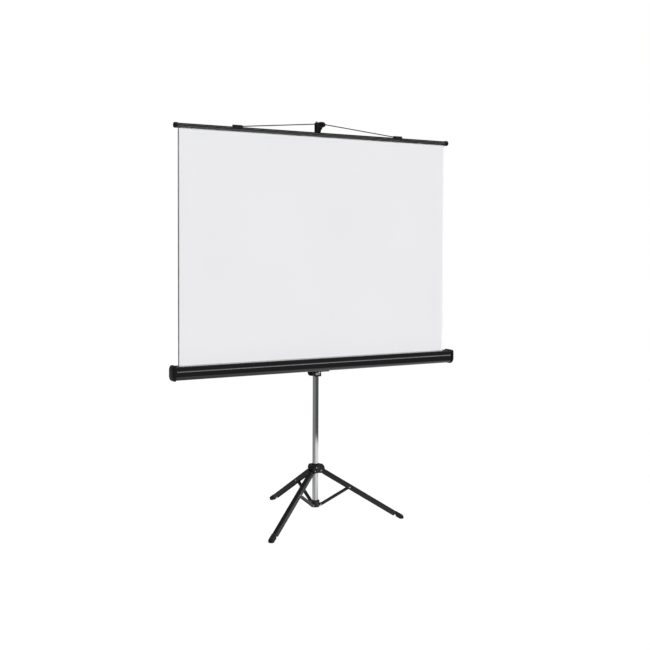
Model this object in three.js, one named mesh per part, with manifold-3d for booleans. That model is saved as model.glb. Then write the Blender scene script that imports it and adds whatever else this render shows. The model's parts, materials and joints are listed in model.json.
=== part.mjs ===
// Tripod projection screen with a spring roller case, a telescopic column and folding legs.
// Millimetres, +Z up, the screen faces -Y and +X is to the right seen from the front.
import * as THREE from 'three';
import { mergeVertices } from 'three/addons/utils/BufferGeometryUtils.js';
import Module from 'manifold-3d';

const wasm = await Module();
wasm.setup();

// General
const CLEAR = 0.3;            // play between neighbouring pieces
const OVERCUT = 1;            // cutters run past the faces they open
const ROUND_STEPS = 24;       // facets round a tube
const PIN_STEPS = 10;         // facets round a pin, a screw or its hole
const ARC_STEPS = 4;          // half the facets along one rounded corner

// Column
const COLUMN_R = 15;
const COLUMN_WALL = 1.5;
const COLUMN_BOTTOM = 66;
const COLUMN_TOP = 1100;

// Legs and struts: equal links, so that the hub runs true on the column
const LEG_AZIMUTHS = [-26.3, 93.7, 213.7].map(THREE.MathUtils.degToRad);
const PIVOT_OFFSET = 14;      // from the column's skin to the hinge circle
const LINK_LENGTH = 170;      // hub pin to strut pin, and strut pin to collar pin
const OPEN_ANGLE = THREE.MathUtils.degToRad(31.1);
const COLLAR_PIVOT_RISE = 11; // collar pins above the column's lower end
const LEG_WIDTH = 22;
const LEG_DEPTH = 24;
const LEG_WALL = 1.6;
const LEG_HEAD_R = 10;        // rounded head round the hub pin
const LEG_TAPER = 26;         // head grows to the full depth over this length
const LEG_END_R = 9;          // rounded lower corner above the foot
const STRUT_WIDTH = 13;
const STRUT_DEPTH = 13.5;
const STRUT_WALL = 1.5;
const BEND_R = 3;             // outer bend of the pressed channels
const EAR_LENGTH = 13;        // channel ends without a web
const FOOT_R = 11;
const FOOT_PROUD = 1.2;       // toe beyond the channel's skin
const FOOT_LENGTH = 38;       // from the channel's end to the middle of the toe
const FOOT_WAIST = 7;         // notch under the foot's neck
const FOOT_NECK = 5;          // length of the neck, and again of its slope to the toe
const FOOT_TONGUE = 34;       // part of the foot inside the channel
const FOOT_FLAT = 4;          // depth of the flat under the toe

// Rivets and domed heads
const RIVET_R = 3;
const RIVET_HEAD_R = 5.2;
const RIVET_HEAD_H = 2.4;
const DOME = [[1, 0], [0.86, 0.6], [0.5, 0.92], [0, 1]]; // head's profile, as shares of its radius and height

// Leg hub and lower collar
const HUB_SLEEVE_WALL = 4;
const HUB_DROP = 13.5;        // hub's lower edge below its pins
const HUB_RISE = 33;          // hub's upper edge above its pins
const HUB_PLATE_T = 9;        // hood over a leg's head
const HUB_NECK = 4;           // sleeve above the hood
const HUB_TOP_R = 26;         // flat top, before the hoods fall away over the legs
const HUB_BROW = 4;           // foot of a hood's brow above the pins
const HUB_EAVE = 6;           // hood beyond its round cheek
const HUB_CROWN_R = 33;       // crown between the hoods
const HUB_CROWN_T = 17;
const HUB_CROWN_ROUND = 5;
const HUB_CHEEK_T = 4;
const HUB_SCREW_TURN = THREE.MathUtils.degToRad(-20); // screw from the middle between two hoods
const HUB_SCREW_R = 2.2;
const HUB_SCREW_HEAD_R = 4.6;
const HUB_SCREW_HEAD_H = 3;
const COLLAR_DROP = 12;
const COLLAR_RISE = 20;
const COLLAR_LUG_R = 7;

// Case
const CASE_MARGIN = 25;        // case beyond the cloth at each end
const CASE_HEIGHT = 66;
const CASE_DEPTH = 66;
const CASE_WALL = 1.5;
const CASE_BOTTOM = 765;
const CASE_BACK = 32;         // from the column's axis to the back of the case
const CASE_TOP_R = 5;
const CASE_BELLY_R = 22;
const CASE_BACK_R = 12;
const CREASE_DROP = 23.5;     // front crease below the top
const CREASE_DEPTH = 1.2;
const CREASE_HALF = 2.1;
const SLOT_WIDTH = 10;
const SLOT_LIP = 6;
const CAP_LENGTH = 19;
const CAP_LAP = 4;
const CAP_ROUND = 16;         // depth of the domed end
const CAP_NOSE = 0.35;        // end's flat nose, as a share of the cap
const CAP_ROUND_STEPS = 4;
const CAP_BOSS_R = 9;
const CAP_BOSS_LENGTH = 14;

// Screen cloth and roller
const SCREEN_PLANE = 48;      // from the column's axis to the cloth
const SCREEN_WIDTH = 1500;
const SCREEN_VISIBLE = 1095;  // from the top of the case to the top bar
const CLOTH_T = 0.6;
const ROLLER_R = 16;
const ROLLER_WALL = 1.2;
const ROLLER_OVERHANG = 4;    // roller beyond the cloth at each end
const ROLL_T = 1.2;           // turns of cloth left on the roller
const ROLLER_PLUG_LENGTH = 26;
const ROLLER_FLANGE_T = 3;
const PIN_R = 5;
const PIN_BITE = 9;           // pin inside the end cap
const ARBOR_REACH = 120;      // spring arbor inside the roller
const GUDGEON_REACH = 34;
const SPRING_WALL = 2.6;
const SPRING_LENGTH = 420;

// Top bar
const BAR_R = 11;
const BAR_WALL = 1.5;
const BAR_OVERHANG = 2;       // bar beyond the cloth at each end
const BAR_SLOT = 2.4;
const SPLINE_R = 2.4;
const KNOB_R = 13.3;
const KNOB_LENGTH = 18;
const KNOB_PLUG = 16;
const KNOB_ROUND = 4;
const KNOB_ROUND_STEPS = 3;
const KNOB_LIP = 1.2;
const CLIP_INNER = 428;       // inner end of each wire clip from the middle
const CLIP_LENGTH = 49;
const CLIP_WALL = 2.7;
const CLIP_FOOT = THREE.MathUtils.degToRad(20); // where a clip ends above the bar's axis, as an angle round it
const CLIP_BOSS_WALL = 2.6;   // boss round the wire
const WIRE_R = 2.2;
const WIRE_LIFT = 3.7;         // wire above the bar's skin in a clip
const WIRE_RISE = 39;         // wire on the hook above the clips
const WIRE_TAIL = 40;         // wire inside a clip
const WIRE_BEND = 21;         // length of the easy bends at the clips and the hook
const WIRE_STEPS = 44;

// Extension rod and hanger
const ROD_R = 9;
const ROD_WALL = 1.2;
const ROD_OVERLAP = 200;      // rod inside the column
const ROD_BUSH_LENGTH = 30;
const HANGER_WALL = 2;
const HANGER_DROP = 24;       // hanger sleeve below the bar's axis
const HANGER_CREST = 10;      // hanger's top above the wire on the hook
const HANGER_CROWN = 8;       // solid top over the rod
const HANGER_HALF = 7;        // half thickness of the hook plate
const HOOK_NECK = 19;         // hook's neck ahead of the column's axis at its foot
const HOOK_FOOT = 8;          // hook's foot above the bar's axis
const HOOK_THROAT = 18;       // hook's throat under the wire
const HOOK_TOOTH = 9;         // tooth below the throat
const HOOK_TOOTH_HALF = 5;
const HOOK_BEAK = 34;         // beak's tip ahead of the cloth
const HOOK_BEAK_DROP = 6;     // beak's tip below the wire
const HOOK_BROW = 20;         // fullness of the brow over the beak
const HANGER_CAP_R = 7;
const HANGER_CAP_H = 8;

// Column top collar with its clamp knob
const TOP_COLLAR_WALL = 5.5;
const TOP_COLLAR_SKIRT = 42;
const TOP_COLLAR_GUIDE = 22;
const TOP_COLLAR_CHAMFER = 3;
const CLAMP_R = 3;
const CLAMP_KNOB_R = 12;
const CLAMP_KNOB_T = 11;
const CLAMP_BITE = 7.7;       // screw inside the knob
const CLAMP_LOBES = 6;
const CLAMP_LOBE_STEPS = 6;
const CLAMP_LOBE_DEPTH = 1.4;

// Carrier between the case and the column
const BUSH_WALL = 1.2;
const CARRIER_HALF = 35;
const CARRIER_PLATE_T = 4;
const CARRIER_TOP = 60;       // above the bottom of the case
const CARRIER_LIP = 46;       // lip under the case
const CARRIER_SLEEVE_WALL = 5;
const CARRIER_WEB_HALF = 14;
const CARRIER_SKIRT = 7;      // sleeve below the bottom of the case
const BUSH_FLANGE = 3;
const BUSH_SETBACK = 1;       // bush's flange inside the sleeve's edge
const CARRIER_SCREW_X = 26;
const CARRIER_SCREW_RISE = 30;
const CARRIER_SCREW_R = 2.3;
const CARRIER_SCREW_HEAD_R = 4.4;
const CARRIER_SCREW_HEAD_H = 3;
const CARRIER_SCREW_BITE = 8;
const YOKE_HALF = 18;
const YOKE_BAR = 4.5;
const YOKE_DROP = 34.5;       // yoke below the bottom of the case

// Height lock: a tilting steel plate on the column and its lever
const LOCK_PLATE_T = 3;
const LOCK_PLATE_DROP = 20;   // plate's middle below the bottom of the case
const LOCK_PLAY = 0.9;
const LOCK_PLAY_X = 2.4;
const LOCK_RIM = 4;
const LOCK_TAB_HALF = 16;
const LOCK_TAB_DROP = 15;
const LOCK_TONGUE_HALF = 3;
const LOCK_TONGUE = 9;
const LEVER_SET = 17.5;       // lever's plane in front of the column's axis
const LEVER_HALF = 4.5;
const LEVER_REACH = 54;
const LEVER_PIN_X = 29;
const LEVER_PIN_DROP = 13;
const LEVER_PIN_R = 2.5;
const LEVER_EAR_T = 3;
const LEVER_EAR_R = 6;
const LEVER_TOE_R = 18;       // round under the lever's paddle

// Values that follow from the sizes above
const PIVOT_R = COLUMN_R + PIVOT_OFFSET;
const COLLAR_PIVOT_Z = COLUMN_BOTTOM + COLLAR_PIVOT_RISE;
const HUB_PIVOT_Z = COLLAR_PIVOT_Z + 2 * LINK_LENGTH * Math.sin(OPEN_ANGLE);
const FOOT_LIFT = LEG_DEPTH / 2 + FOOT_PROUD - FOOT_R;
const TOE_Z = FOOT_R - FOOT_FLAT;
const TOE_DISTANCE = (HUB_PIVOT_Z + FOOT_LIFT * Math.cos(OPEN_ANGLE) - TOE_Z) / Math.sin(OPEN_ANGLE);
const COLLAR_R = PIVOT_R - STRUT_DEPTH / 2 - CLEAR;
const LEG_LENGTH = TOE_DISTANCE - FOOT_LENGTH;
const CASE_TOP = CASE_BOTTOM + CASE_HEIGHT;
const CASE_FRONT_Y = -CASE_BACK - CASE_DEPTH;
const CASE_BACK_Y = -CASE_BACK;
const CLOTH_Y = -SCREEN_PLANE;
const CASE_LENGTH = SCREEN_WIDTH + 2 * CASE_MARGIN;
const ROLL_R = ROLLER_R + CLEAR + ROLL_T;
const ROLLER_Y = CLOTH_Y - CLOTH_T / 2 - CLEAR - ROLL_R;
const ROLLER_Z = CASE_BOTTOM + CASE_HEIGHT / 2;
const ROLLER_HALF = SCREEN_WIDTH / 2 + ROLLER_OVERHANG;
const PIN_TIP = CASE_LENGTH / 2 + CLEAR + PIN_BITE;
const BAR_Z = CASE_TOP + SCREEN_VISIBLE + BAR_R;
const BAR_HALF = SCREEN_WIDTH / 2 + BAR_OVERHANG;
const SPLINE_Z = BAR_Z - BAR_R + BAR_WALL + CLEAR + SPLINE_R;
const WIRE_CLIP_Z = BAR_R + WIRE_LIFT;      // heights from the bar's axis
const WIRE_HOOK_Z = WIRE_CLIP_Z + WIRE_RISE;
const HANGER_TOP = WIRE_HOOK_Z + HANGER_CREST;
const HANGER_R = ROD_R + CLEAR + HANGER_WALL;
const WIRE_SLOPE = WIRE_RISE / CLIP_INNER;
const ROD_BOTTOM = COLUMN_TOP - ROD_OVERLAP;
const ROD_TOP = BAR_Z + HANGER_TOP - HANGER_CROWN - CLEAR;
const BUSH_R = COLUMN_R + CLEAR + BUSH_WALL;
const CARRIER_BORE = BUSH_R + CLEAR;
const CARRIER_SLEEVE_R = CARRIER_BORE + CARRIER_SLEEVE_WALL;
const CARRIER_FLOOR = CASE_BOTTOM - CLEAR - CARRIER_PLATE_T;
const PLATE_Y = CASE_BACK_Y + CLEAR + CARRIER_PLATE_T;
const LOCK_Z = CASE_BOTTOM - LOCK_PLATE_DROP;
const LEVER_PIN_Z = CASE_BOTTOM - LEVER_PIN_DROP;

// Finishes
const finish = (color, roughness, metalness) => (
  new THREE.MeshStandardMaterial({ color, roughness, metalness })
);
const CHROME = finish(0xc4c7ca, 0.12, 1);
const STEEL = finish(0x9b9da0, 0.3, 1);
const BLACK_PAINT = finish(0x1c1c1e, 0.35, 0.2);
const BLACK_PLASTIC = finish(0x202022, 0.45, 0);
const BLACK_RUBBER = finish(0x1a1a1a, 0.7, 0);
const NYLON = finish(0xd9d6cc, 0.5, 0);
const CLOTH = finish(0xececee, 0.9, 0);

const X_AXIS = new THREE.Vector3(1, 0, 0);
const Y_AXIS = new THREE.Vector3(0, 1, 0);
const Z_AXIS = new THREE.Vector3(0, 0, 1);

// Turns a closed geometry into a solid that can be joined and cut
function solidOf(geometry) {
  const bare = geometry.clone();
  bare.deleteAttribute('normal');
  bare.deleteAttribute('uv');
  const merged = mergeVertices(bare, 1e-4);
  const corners = merged.index.array;
  const kept = [];
  for (let i = 0; i < corners.length; i += 3) {
    const [a, b, c] = [corners[i], corners[i + 1], corners[i + 2]];
    if (a !== b && b !== c && c !== a) kept.push(a, b, c);
  }
  return new wasm.Manifold(new wasm.Mesh({
    numProp: 3,
    vertProperties: Float32Array.from(merged.attributes.position.array),
    triVerts: Uint32Array.from(kept),
  }));
}

// Gives a joined or cut solid back as a geometry
function geometryOf(solid) {
  const mesh = solid.getMesh();
  const geometry = new THREE.BufferGeometry();
  geometry.setAttribute('position', new THREE.BufferAttribute(Float32Array.from(mesh.vertProperties), 3));
  geometry.setIndex(new THREE.BufferAttribute(Uint32Array.from(mesh.triVerts), 1));
  geometry.computeVertexNormals();
  return geometry;
}

const join = (first, ...rest) => rest.reduce((sum, geometry) => sum.add(solidOf(geometry)), solidOf(first));
const cut = (solid, ...tools) => tools.reduce((left, geometry) => left.subtract(solidOf(geometry)), solid);

// Leaves out points that coincide where a line runs into an arc
function distinct(points) {
  return points.filter((point, i) => point.distanceTo(points[(i + 1) % points.length]) > 1e-6);
}

function extrude(shape, depth, { curveSegments = ARC_STEPS, ...options } = {}) {
  const points = shape.extractPoints(curveSegments);
  const outline = new THREE.Shape(distinct(points.shape));
  outline.holes = points.holes.map((hole) => new THREE.Path(distinct(hole)));
  return new THREE.ExtrudeGeometry(outline, { depth, steps: 1, bevelEnabled: false, ...options });
}

// Outline in (y, z), carried along x
function alongX(shape, x0, x1, options) {
  const turn = new THREE.Matrix4().makeBasis(Y_AXIS, Z_AXIS, X_AXIS);
  return extrude(shape, x1 - x0, options).applyMatrix4(turn).translate(x0, 0, 0);
}

// Outline in (x, z), carried along y
function alongY(shape, y0, y1, options) {
  return extrude(shape, y1 - y0, options).rotateX(Math.PI / 2).translate(0, y1, 0);
}

// Outline in (x, y), carried along z
function alongZ(shape, z0, z1, options) {
  return extrude(shape, z1 - z0, options).translate(0, 0, z0);
}

function box(x0, x1, y0, y1, z0, z1) {
  const block = new THREE.BoxGeometry(x1 - x0, y1 - y0, z1 - z0);
  return block.translate((x0 + x1) / 2, (y0 + y1) / 2, (z0 + z1) / 2);
}

// Profile of [radius, height] points, turned about the z axis
function turned(profile, steps = ROUND_STEPS) {
  const points = profile.map(([radius, height]) => new THREE.Vector2(radius, height));
  return new THREE.LatheGeometry(points, steps).rotateX(Math.PI / 2);
}

function ring(inner, outer, z0, z1, steps) {
  return turned([[inner, z0], [outer, z0], [outer, z1], [inner, z1], [inner, z0]], steps);
}

function disc(radius, z0, z1, steps = ROUND_STEPS) {
  return new THREE.CylinderGeometry(radius, radius, z1 - z0, steps).rotateX(Math.PI / 2)
    .translate(0, 0, (z0 + z1) / 2);
}

const layAlongX = (geometry) => geometry.rotateY(Math.PI / 2);
const layAlongY = (geometry) => geometry.rotateX(-Math.PI / 2);

function rectangle(x0, x1, y0, y1) {
  const shape = new THREE.Shape();
  shape.moveTo(x0, y0);
  shape.lineTo(x1, y0);
  shape.lineTo(x1, y1);
  shape.lineTo(x0, y1);
  return shape;
}

// Profile of a domed head that stands on `seat`
const dome = (radius, height, seat) => DOME.map(([across, up]) => [across * radius, seat + up * height]);

// Rivet with a domed head at each end, lying along z, `grip` between its heads
function rivet(grip) {
  const half = grip / 2 + CLEAR;
  const upper = dome(RIVET_HEAD_R, RIVET_HEAD_H, half);
  const lower = upper.map(([radius, height]) => [radius, -height]).reverse();
  return turned([...lower, [RIVET_R, -half], [RIVET_R, half], ...upper], PIN_STEPS);
}

const part = new THREE.Group();

function place(parent, name, geometry, material) {
  const mesh = new THREE.Mesh(geometry, material);
  mesh.name = name;
  parent.add(mesh);
  return mesh;
}

// Pressed channel along x, open below, trimmed to a side outline in (x, y) and drilled across z
function channel({ width, depth, wall, outline, webFrom, webTo, reach, holes }) {
  const half = width / 2;
  const top = depth / 2;
  const section = new THREE.Shape();
  section.moveTo(-half, -top);
  section.lineTo(-half + wall, -top);
  section.lineTo(-half + wall, top - wall);
  section.lineTo(half - wall, top - wall);
  section.lineTo(half - wall, -top);
  section.lineTo(half, -top);
  section.lineTo(half, top - BEND_R);
  section.absarc(half - BEND_R, top - BEND_R, BEND_R, 0, Math.PI / 2);
  section.lineTo(-half + BEND_R, top);
  section.absarc(-half + BEND_R, top - BEND_R, BEND_R, Math.PI / 2, Math.PI);
  const sideways = new THREE.Matrix4().makeBasis(Z_AXIS.clone().negate(), Y_AXIS, X_AXIS);
  const pressed = extrude(section, 2 * reach).applyMatrix4(sideways).translate(-reach, 0, 0);
  const side = extrude(outline, 2 * width).translate(0, 0, -width);
  const inner = half - wall;
  const tools = [box(-reach, webFrom, -top, depth, -inner, inner)];
  if (webTo < reach) tools.push(box(webTo, reach, -top, depth, -inner, inner));
  for (const x of holes) tools.push(disc(RIVET_R + CLEAR, -width, width, PIN_STEPS).translate(x, 0, 0));
  return geometryOf(cut(solidOf(pressed).intersect(solidOf(side)), ...tools)).rotateX(Math.PI / 2);
}

function legGeometry() {
  const top = LEG_DEPTH / 2;
  const outline = new THREE.Shape();
  outline.moveTo(0, LEG_HEAD_R);
  outline.absarc(0, 0, LEG_HEAD_R, Math.PI / 2, Math.PI * 1.5);
  outline.lineTo(LEG_TAPER, -top);
  outline.lineTo(LEG_LENGTH - LEG_END_R, -top);
  outline.absarc(LEG_LENGTH - LEG_END_R, LEG_END_R - top, LEG_END_R, -Math.PI / 2, 0);
  outline.lineTo(LEG_LENGTH, top);
  outline.lineTo(LEG_TAPER, top);
  return channel({
    width: LEG_WIDTH, depth: LEG_DEPTH, wall: LEG_WALL, outline,
    webFrom: EAR_LENGTH, webTo: Infinity, reach: LEG_LENGTH + LEG_DEPTH, holes: [0, LINK_LENGTH],
  });
}

function strutGeometry() {
  const radius = STRUT_DEPTH / 2;
  const outline = new THREE.Shape();
  outline.moveTo(0, radius);
  outline.absarc(0, 0, radius, Math.PI / 2, Math.PI * 1.5);
  outline.absarc(LINK_LENGTH, 0, radius, -Math.PI / 2, Math.PI / 2);
  return channel({
    width: STRUT_WIDTH, depth: STRUT_DEPTH, wall: STRUT_WALL, outline,
    webFrom: EAR_LENGTH, webTo: LINK_LENGTH - EAR_LENGTH, reach: LINK_LENGTH + STRUT_DEPTH,
    holes: [0, LINK_LENGTH],
  });
}

// Moulded foot: a tongue up the channel, a notched neck and a round toe cut flat along the floor
function footGeometry() {
  const start = LEG_LENGTH + CLEAR;
  const low = FOOT_LIFT - FOOT_R;
  const waist = low + FOOT_WAIST;
  const toe = new THREE.Shape();
  toe.moveTo(start, FOOT_LIFT + FOOT_R);
  toe.lineTo(start, waist);
  toe.lineTo(start + FOOT_NECK, waist);
  toe.lineTo(start + 2 * FOOT_NECK, low);
  toe.lineTo(TOE_DISTANCE, low);
  toe.absarc(TOE_DISTANCE, FOOT_LIFT, FOOT_R, -Math.PI / 2, Math.PI / 2);
  const half = LEG_WIDTH / 2 + FOOT_PROUD;
  const inner = LEG_WIDTH / 2 - LEG_WALL - CLEAR;
  const tongueTop = LEG_DEPTH / 2 - LEG_WALL - CLEAR;
  const tongue = rectangle(start - FOOT_TONGUE, start + FOOT_NECK, waist, tongueTop);
  const toeSolid = extrude(toe, 2 * half).translate(0, 0, -half);
  const tongueSolid = extrude(tongue, 2 * inner).translate(0, 0, -inner);
  const ground = box(-LEG_LENGTH, LEG_LENGTH, -LEG_LENGTH, -TOE_Z, -LEG_WIDTH, LEG_WIDTH);
  const floor = ground.rotateZ(OPEN_ANGLE).translate(TOE_DISTANCE, FOOT_LIFT, 0);
  return geometryOf(cut(join(toeSolid, tongueSolid), floor)).rotateX(Math.PI / 2);
}

const HUB_CHEEK_IN = LEG_WIDTH / 2 + CLEAR;
const HUB_CHEEK_OUT = HUB_CHEEK_IN + HUB_CHEEK_T;
const HUB_SLEEVE_R = COLUMN_R + CLEAR + HUB_SLEEVE_WALL;
const HUB_TOP = HUB_RISE - HUB_NECK;
const HUB_CROWN_LOW = HUB_TOP - HUB_CROWN_T;
const HUB_SCREW_Z = (HUB_CROWN_LOW + HUB_TOP - HUB_CROWN_ROUND) / 2;
const HUB_SCREW_AZIMUTH = (LEG_AZIMUTHS[0] + LEG_AZIMUTHS[2]) / 2 + Math.PI + HUB_SCREW_TURN;

// Side of a hood over one leg, in (x, z) from the column's axis and the pins:
// flat top, falling brow, eave and round cheek
function hoodShape() {
  const reach = PIVOT_R + HUB_DROP + HUB_EAVE;
  const shape = new THREE.Shape();
  shape.moveTo(0, HUB_TOP);
  shape.lineTo(0, -HUB_DROP);
  shape.lineTo(PIVOT_R, -HUB_DROP);
  shape.absarc(PIVOT_R, 0, HUB_DROP, -Math.PI / 2, 0);
  shape.absellipse(HUB_TOP_R, HUB_BROW, reach - HUB_TOP_R, HUB_TOP - HUB_BROW, 0, Math.PI / 2);
  return shape;
}

// Room for a leg's head under its hood; its roof falls with the opened leg
function headRoomShape() {
  const back = PIVOT_R - LEG_HEAD_R - 2 * CLEAR;
  const front = PIVOT_R + 2 * HUB_DROP;
  const roof = HUB_TOP - HUB_PLATE_T;
  const shape = new THREE.Shape();
  shape.moveTo(back, -2 * HUB_DROP);
  shape.lineTo(front, -2 * HUB_DROP);
  shape.lineTo(front, roof - (front - PIVOT_R) * Math.tan(OPEN_ANGLE));
  shape.lineTo(PIVOT_R, roof);
  shape.lineTo(back, roof);
  return shape;
}

function hubGeometry() {
  const crown = [[0, HUB_CROWN_LOW], [HUB_CROWN_R, HUB_CROWN_LOW]];
  for (let i = 0; i <= ARC_STEPS; i += 1) {
    const angle = (Math.PI / 2) * (i / ARC_STEPS);
    crown.push([HUB_CROWN_R - HUB_CROWN_ROUND * (1 - Math.cos(angle)),
      HUB_TOP - HUB_CROWN_ROUND * (1 - Math.sin(angle))]);
  }
  crown.push([0, HUB_TOP]);
  const pieces = [disc(HUB_SLEEVE_R, -HUB_DROP, HUB_RISE), turned(crown)];
  const tools = [disc(COLUMN_R + CLEAR, -HUB_DROP - OVERCUT, HUB_RISE + OVERCUT)];
  for (const azimuth of LEG_AZIMUTHS) {
    pieces.push(alongY(hoodShape(), -HUB_CHEEK_OUT, HUB_CHEEK_OUT).rotateZ(azimuth));
    tools.push(alongY(headRoomShape(), -HUB_CHEEK_IN, HUB_CHEEK_IN).rotateZ(azimuth));
    const pin = layAlongY(disc(RIVET_R + CLEAR, -2 * HUB_CHEEK_OUT, 2 * HUB_CHEEK_OUT, PIN_STEPS));
    tools.push(pin.translate(PIVOT_R, 0, 0).rotateZ(azimuth));
  }
  const screw = layAlongX(disc(HUB_SCREW_R + CLEAR, 0, 2 * HUB_CROWN_R, PIN_STEPS));
  tools.push(screw.translate(0, 0, HUB_SCREW_Z).rotateZ(HUB_SCREW_AZIMUTH));
  return geometryOf(cut(join(...pieces), ...tools));
}

// Domed screw lying along x, its head's seat at `seat` and its tip at `tip`
function radialScrew(radius, headR, headH, tip, seat) {
  const profile = [[0, tip], [radius, tip], [radius, seat], ...dome(headR, headH, seat)];
  return layAlongX(turned(profile, PIN_STEPS));
}

function lowerCollarGeometry() {
  const pieces = [disc(COLLAR_R, -COLLAR_DROP, COLLAR_RISE)];
  const tools = [disc(COLUMN_R + CLEAR, -COLLAR_DROP - OVERCUT, COLLAR_RISE + OVERCUT)];
  const half = STRUT_WIDTH / 2 - STRUT_WALL - CLEAR;
  const lug = new THREE.Shape();
  lug.moveTo(COLUMN_R, -COLLAR_LUG_R);
  lug.lineTo(PIVOT_R, -COLLAR_LUG_R);
  lug.absarc(PIVOT_R, 0, COLLAR_LUG_R, -Math.PI / 2, Math.PI / 2);
  lug.lineTo(COLUMN_R, COLLAR_LUG_R);
  for (const azimuth of LEG_AZIMUTHS) {
    pieces.push(alongY(lug, -half, half).rotateZ(azimuth));
    const pin = layAlongY(disc(RIVET_R + CLEAR, -STRUT_WIDTH, STRUT_WIDTH, PIN_STEPS));
    tools.push(pin.translate(PIVOT_R, 0, 0).rotateZ(azimuth));
  }
  return geometryOf(cut(join(...pieces), ...tools));
}

function addTripod() {
  place(part, 'column_tube', ring(COLUMN_R - COLUMN_WALL, COLUMN_R, COLUMN_BOTTOM, COLUMN_TOP), CHROME);
  const hub = new THREE.Group();
  hub.position.z = HUB_PIVOT_Z;
  place(hub, 'leg_hub', hubGeometry(), BLACK_PLASTIC);
  const screw = radialScrew(HUB_SCREW_R, HUB_SCREW_HEAD_R, HUB_SCREW_HEAD_H, COLUMN_R + 2 * CLEAR,
    HUB_CROWN_R + CLEAR);
  const screwMesh = place(hub, 'hub_screw', screw, BLACK_PAINT);
  screwMesh.position.z = HUB_SCREW_Z;
  screwMesh.rotation.z = HUB_SCREW_AZIMUTH;
  const collar = new THREE.Group();
  collar.position.z = COLLAR_PIVOT_Z;
  place(collar, 'lower_collar', lowerCollarGeometry(), BLACK_PLASTIC);
  part.add(hub, collar);
  LEG_AZIMUTHS.forEach((azimuth, i) => {
    const side = new THREE.Group();
    side.rotation.z = azimuth;
    const leg = new THREE.Group();
    leg.position.set(PIVOT_R, 0, HUB_PIVOT_Z);
    leg.rotation.y = OPEN_ANGLE;
    place(leg, `leg_${i + 1}`, legGeometry(), BLACK_PAINT);
    place(leg, `foot_${i + 1}`, footGeometry(), BLACK_RUBBER);
    const strutPin = place(leg, `strut_rivet_${i + 1}`, rivet(LEG_WIDTH).rotateX(Math.PI / 2), STEEL);
    strutPin.position.x = LINK_LENGTH;
    const strut = new THREE.Group();
    strut.position.set(PIVOT_R, 0, COLLAR_PIVOT_Z);
    strut.rotation.y = -OPEN_ANGLE;
    place(strut, `strut_${i + 1}`, strutGeometry(), BLACK_PAINT);
    const hubPin = place(side, `hub_rivet_${i + 1}`, rivet(2 * HUB_CHEEK_OUT).rotateX(Math.PI / 2), STEEL);
    hubPin.position.set(PIVOT_R, 0, HUB_PIVOT_Z);
    const collarPin = place(side, `collar_rivet_${i + 1}`, rivet(STRUT_WIDTH).rotateX(Math.PI / 2), STEEL);
    collarPin.position.set(PIVOT_R, 0, COLLAR_PIVOT_Z);
    side.add(leg, strut);
    part.add(side);
  });
}

// Collar on the column's upper end, which guides the rod, and the knob that clamps it
function addColumnTop() {
  const bore = COLUMN_R + CLEAR;
  const outer = bore + TOP_COLLAR_WALL;
  const guide = ROD_R + CLEAR;
  const seat = COLUMN_TOP + CLEAR;
  const bottom = COLUMN_TOP - TOP_COLLAR_SKIRT;
  const top = seat + TOP_COLLAR_GUIDE;
  const profile = [[bore, bottom], [outer, bottom], [outer, top - TOP_COLLAR_CHAMFER],
    [outer - TOP_COLLAR_CHAMFER, top], [guide, top], [guide, seat], [bore, seat], [bore, bottom]];
  const clampZ = seat + TOP_COLLAR_GUIDE / 2;
  const hole = layAlongY(disc(CLAMP_R + CLEAR, 0, 2 * outer, PIN_STEPS)).translate(0, 0, clampZ);
  place(part, 'column_collar', geometryOf(cut(solidOf(turned(profile)), hole)), BLACK_PLASTIC);

  const knobStart = outer + CLEAR;
  const lobed = new THREE.Shape();
  const count = CLAMP_LOBES * CLAMP_LOBE_STEPS;
  for (let i = 0; i < count; i += 1) {
    const angle = (2 * Math.PI * i) / count;
    const radius = CLAMP_KNOB_R - CLAMP_LOBE_DEPTH * (1 - Math.cos(CLAMP_LOBES * angle)) / 2;
    lobed[i === 0 ? 'moveTo' : 'lineTo'](radius * Math.cos(angle), radius * Math.sin(angle));
  }
  const studEnd = knobStart + CLAMP_BITE;
  const stud = layAlongY(disc(CLAMP_R, guide, studEnd, PIN_STEPS));
  const socket = layAlongY(disc(CLAMP_R + CLEAR, 0, studEnd + CLEAR, PIN_STEPS));
  const knob = geometryOf(cut(solidOf(alongY(lobed, knobStart, knobStart + CLAMP_KNOB_T)), socket));
  place(part, 'clamp_knob', knob, BLACK_PLASTIC).position.z = clampZ;
  place(part, 'clamp_screw', stud, STEEL).position.z = clampZ;
}

// Outline of the case in (y, z), drawn in by `inset` all round
function caseShape(inset, creased) {
  const q = Math.PI / 2;
  const topR = CASE_TOP_R - inset;
  const bellyR = CASE_BELLY_R - inset;
  const backR = CASE_BACK_R - inset;
  const front = CASE_FRONT_Y + inset;
  const back = CASE_BACK_Y - inset;
  const low = CASE_BOTTOM + inset;
  const high = CASE_TOP - inset;
  const creaseZ = CASE_TOP - CREASE_DROP;
  const shape = new THREE.Shape();
  shape.moveTo(back - backR, high);
  shape.absarc(front + topR, high - topR, topR, q, 2 * q);
  if (creased) {
    shape.lineTo(front, creaseZ + CREASE_HALF);
    shape.lineTo(front + CREASE_DEPTH, creaseZ);
    shape.lineTo(front, creaseZ - CREASE_HALF);
  }
  shape.absarc(front + bellyR, low + bellyR, bellyR, 2 * q, 3 * q);
  shape.absarc(back - backR, low + backR, backR, 3 * q, 4 * q);
  shape.absarc(back - backR, high - backR, backR, 0, q);
  return shape;
}

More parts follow.
